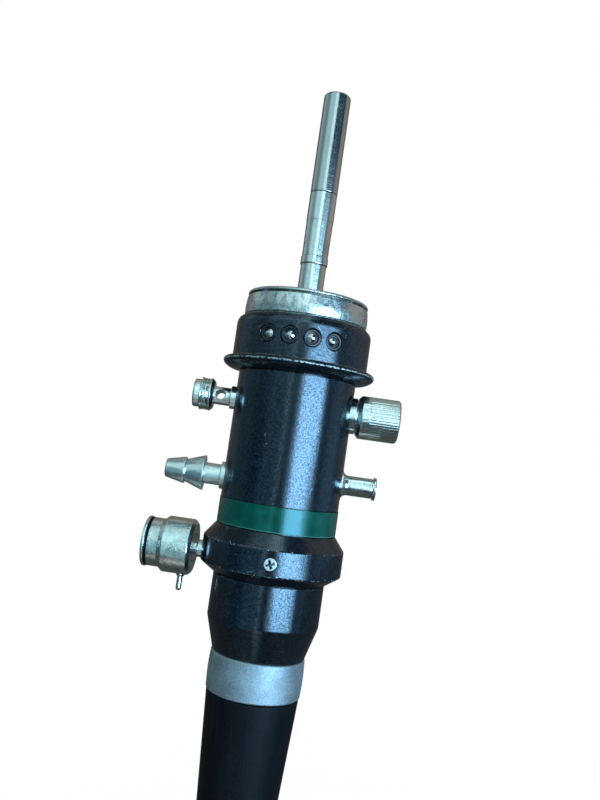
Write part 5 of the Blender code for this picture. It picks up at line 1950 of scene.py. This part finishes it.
@dataclass
class Floor:
    """The pale floor under the boot, which fades to the white behind it.

    Attributes:
        drop: how far it lies under the plug.
        back: how far its middle lies behind the plug, in metres.
        base: its base colour.
        glow: how bright it shows where it is pale.
        spot_x: where the middle of the spot lies that metal shows brighter.
        spot_y: the same towards the back.
        spot_inner: the radius at which the spot starts to fade.
        spot_outer: the radius at which it ends.
        spot_share: how pale metal shows the spot.
        share: how pale metal shows the rest.
    """

    drop: float = 0.6
    back: float = 0.9
    base: Colour = (0.12, 0.11, 0.10)
    glow: float = 0.95
    spot_x: float = -45.0
    spot_y: float = -50.0
    spot_inner: float = 20.0
    spot_outer: float = 35.0
    spot_share: float = 0.42
    share: float = 0.03

    def build(self) -> None:
        """Builds the floor."""
        bm = bmesh.new()
        bmesh.ops.create_grid(bm, x_segments=2, y_segments=2, size=1.0)
        height = CAD_BOX[0][2] / MM - self.drop
        level = Matrix.Translation((0, self.back, height * MM))
        bmesh.ops.transform(bm, matrix=level, verts=bm.verts)
        floor = to_object("floor", bm)
        material, graph, shader = new_material("pale_floor", self.base, 0.9)
        seen, in_metal = graph.rays()
        place = Place(graph, UPRIGHT)
        out, ahead = place.x - self.spot_x * MM, place.y - self.spot_y * MM
        off = (out * out + ahead * ahead) ** 0.5
        spot = 1 - off.step(self.spot_inner * MM, self.spot_outer * MM)
        pale = in_metal * (spot * self.spot_share + self.share)
        graph.feed(shader["Emission Color"], graph.blend(seen + pale, (0, 0, 0), WHITE))
        shader["Emission Strength"].default_value = self.glow
        floor.data.materials.append(material)


@dataclass
class Studio:
    """The camera, the surroundings, the card and the floor."""

    distance: float = 240.0
    aim_x: float = 1.69
    aim_height: float = -10.05
    pitch: float = 3.9
    roll: float = 8.15
    lens: float = 36.0
    sensor: float = 36.0
    clip_start: float = 10.0
    ambient: Colour = (0.020, 0.022, 0.026)
    backdrop_in_metal: float = 0.10
    backdrop_edge: tuple[float, float] = (0.2, 0.7)
    least_level: float = 0.0001
    glows: tuple[Glow, ...] = (
        Glow(0.0, 100.0, 40.0, 95.0, (0.06, 0.11, 0.15), 10.0),
        Glow(180.0, 75.0, 45.0, 95.0, (0.30, 0.36, 0.36), 8.0),
        Glow(-30.0, 34.0, 38.0, 88.0, (0.42, 0.62, 0.68), 8.0),
        Glow(11.0, 20.0, 38.0, 86.0, (1.15, 1.65, 1.75), 7.0),
        Glow(-26.0, 42.0, 8.0, 48.0, (0.50, 0.80, 0.90), 5.0),
        Glow(-84.0, 26.0, 8.0, 34.0, (0.22, 0.34, 0.37), 10.0),
        Glow(-110.0, 15.0, 8.0, 34.0, (0.34, 0.46, 0.50), 5.0),
        Glow(0.0, 13.5, -16.0, 42.0, (0.95, 1.40, 1.50), 4.0),
        Glow(-10.0, 7.0, -64.0, -13.0, (0.50, 0.70, 0.73), 3.0),
        Glow(-33.0, 19.0, -40.0, 8.0, (0.11, 0.28, 0.36), 4.0),
        Glow(-62.0, 15.0, -40.0, 8.0, (0.03, 0.08, 0.14), 5.0),
        Glow(-102.0, 27.0, -40.0, 8.0, (0.08, 0.18, 0.22), 8.0),
        Glow(97.0, 38.0, -40.0, 8.0, (0.06, 0.13, 0.22), 8.0),
        Glow(94.0, 16.0, -40.0, 8.0, (0.22, 0.42, 0.58), 6.0),
        Glow(75.0, 30.0, 8.0, 60.0, (0.13, 0.22, 0.27), 6.0),
        Glow(112.0, 28.0, 8.0, 60.0, (0.32, 0.29, 0.27), 8.0),
        Glow(36.0, 24.0, 6.0, 18.5, (0.36, 0.64, 0.80), 2.0),
        Glow(46.0, 36.0, 19.5, 60.0, (0.03, 0.07, 0.12), 1.5),
        Glow(36.0, 22.0, -14.0, 9.0, (4.56, 8.4, 12.0), 2.5),
        Glow(61.0, 13.5, -8.0, -1.5, (0.05, 0.10, 0.16), 2.5),
        Glow(180.0, 50.0, -20.0, 55.0, (0.08, 0.06, 0.05), 8.0),
    )

    def build(self) -> None:
        """Builds the studio."""
        self.build_camera()
        self.build_surroundings()
        Floor().build()
        Card().build()
        bpy.context.scene.view_settings.view_transform = "Standard"

    def build_camera(self) -> None:
        """Sets the camera in front of the contacts, a little below and leaning over."""
        pitch, roll = math.radians(self.pitch), math.radians(self.roll)
        ahead = Vector((0, math.cos(pitch), math.sin(pitch)))
        level, rise = Vector((1, 0, 0)), Vector((0, -math.sin(pitch), math.cos(pitch)))
        right = level * math.cos(roll) + rise * math.sin(roll)
        up = rise * math.cos(roll) - level * math.sin(roll)
        aim = Vector((self.aim_x, 0, self.aim_height)) * MM
        camera = bpy.data.cameras.new("camera")
        camera.lens = self.lens
        camera.sensor_width = self.sensor
        camera.clip_start = self.clip_start * MM
        made = bpy.data.objects.new("camera", camera)
        turn = Matrix((right, up, -ahead)).transposed().to_4x4()
        away = ahead * self.distance * MM / math.cos(pitch)
        made.matrix_world = Matrix.Translation(aim - away) @ turn
        bpy.context.scene.collection.objects.link(made)
        bpy.context.scene.camera = made

    def build_surroundings(self) -> None:
        """Paints the light round the object, and plain white where the camera looks."""
        world = bpy.data.worlds.new("studio")
        world.use_nodes = True
        bpy.context.scene.world = world
        graph = Graph(world.node_tree)
        world.node_tree.nodes.clear()
        source = graph.node("ShaderNodeTexCoord").outputs["Generated"]
        parts = graph.node("ShaderNodeSeparateXYZ", None, {0: source})
        x, y, z = (Value(graph, output) for output in parts.outputs)
        level = ((x * x + y * y) ** 0.5).most(self.least_level)
        elevation = z.maths("ARCSINE", z)
        colour = self.ambient
        for glow in self.glows:
            turn = math.radians(glow.azimuth)
            facing = (x * math.sin(turn) - y * math.cos(turn)) / level
            off = facing.maths("ARCCOSINE", facing.maths("MINIMUM", facing, 1.0).most(-1.0))
            soft = math.radians(glow.soft)
            wide, low, high = (math.radians(a) for a in (glow.half_width, glow.low, glow.high))
            share = elevation.step(low - soft, low + soft)
            share = share * (1 - elevation.step(high - soft, high + soft))
            share = share * (1 - off.step(wide - soft, wide + soft))
            colour = graph.blend(share, colour, glow.colour)
        seen, in_metal = graph.rays()
        behind = y.step(*self.backdrop_edge) * self.backdrop_in_metal
        colour = graph.blend(in_metal * behind, colour, WHITE)
        colour = graph.blend(seen, colour, WHITE)
        light = graph.node("ShaderNodeBackground", None, {"Color": colour, "Strength": 1.0})
        graph.node("ShaderNodeOutputWorld", None, {"Surface": light.outputs[0]})


def main() -> None:
    """Builds the studio and every sub-assembly of the plug."""
    logging.basicConfig(level=logging.INFO, format="%(name)s: %(message)s")
    Studio().build()
    LightGuideProng().build()
    Front().build()
    ContactRow().build()
    Flange().build()
    terminal, nipple, tube, port = EarthTerminal(), SuctionNipple(), AirTube(), Port()
    fitted = (terminal, nipple, tube, port)
    Barrel().build([sub.fitting.wall_hole() for sub in fitted])
    vent = VentConnector()
    Collar().build(vent.axis)
    Rear().build()
    for sub in fitted:
        sub.build()
    vent.build()
    InnerPieces().dress()


if __name__ == "__main__":
    main()
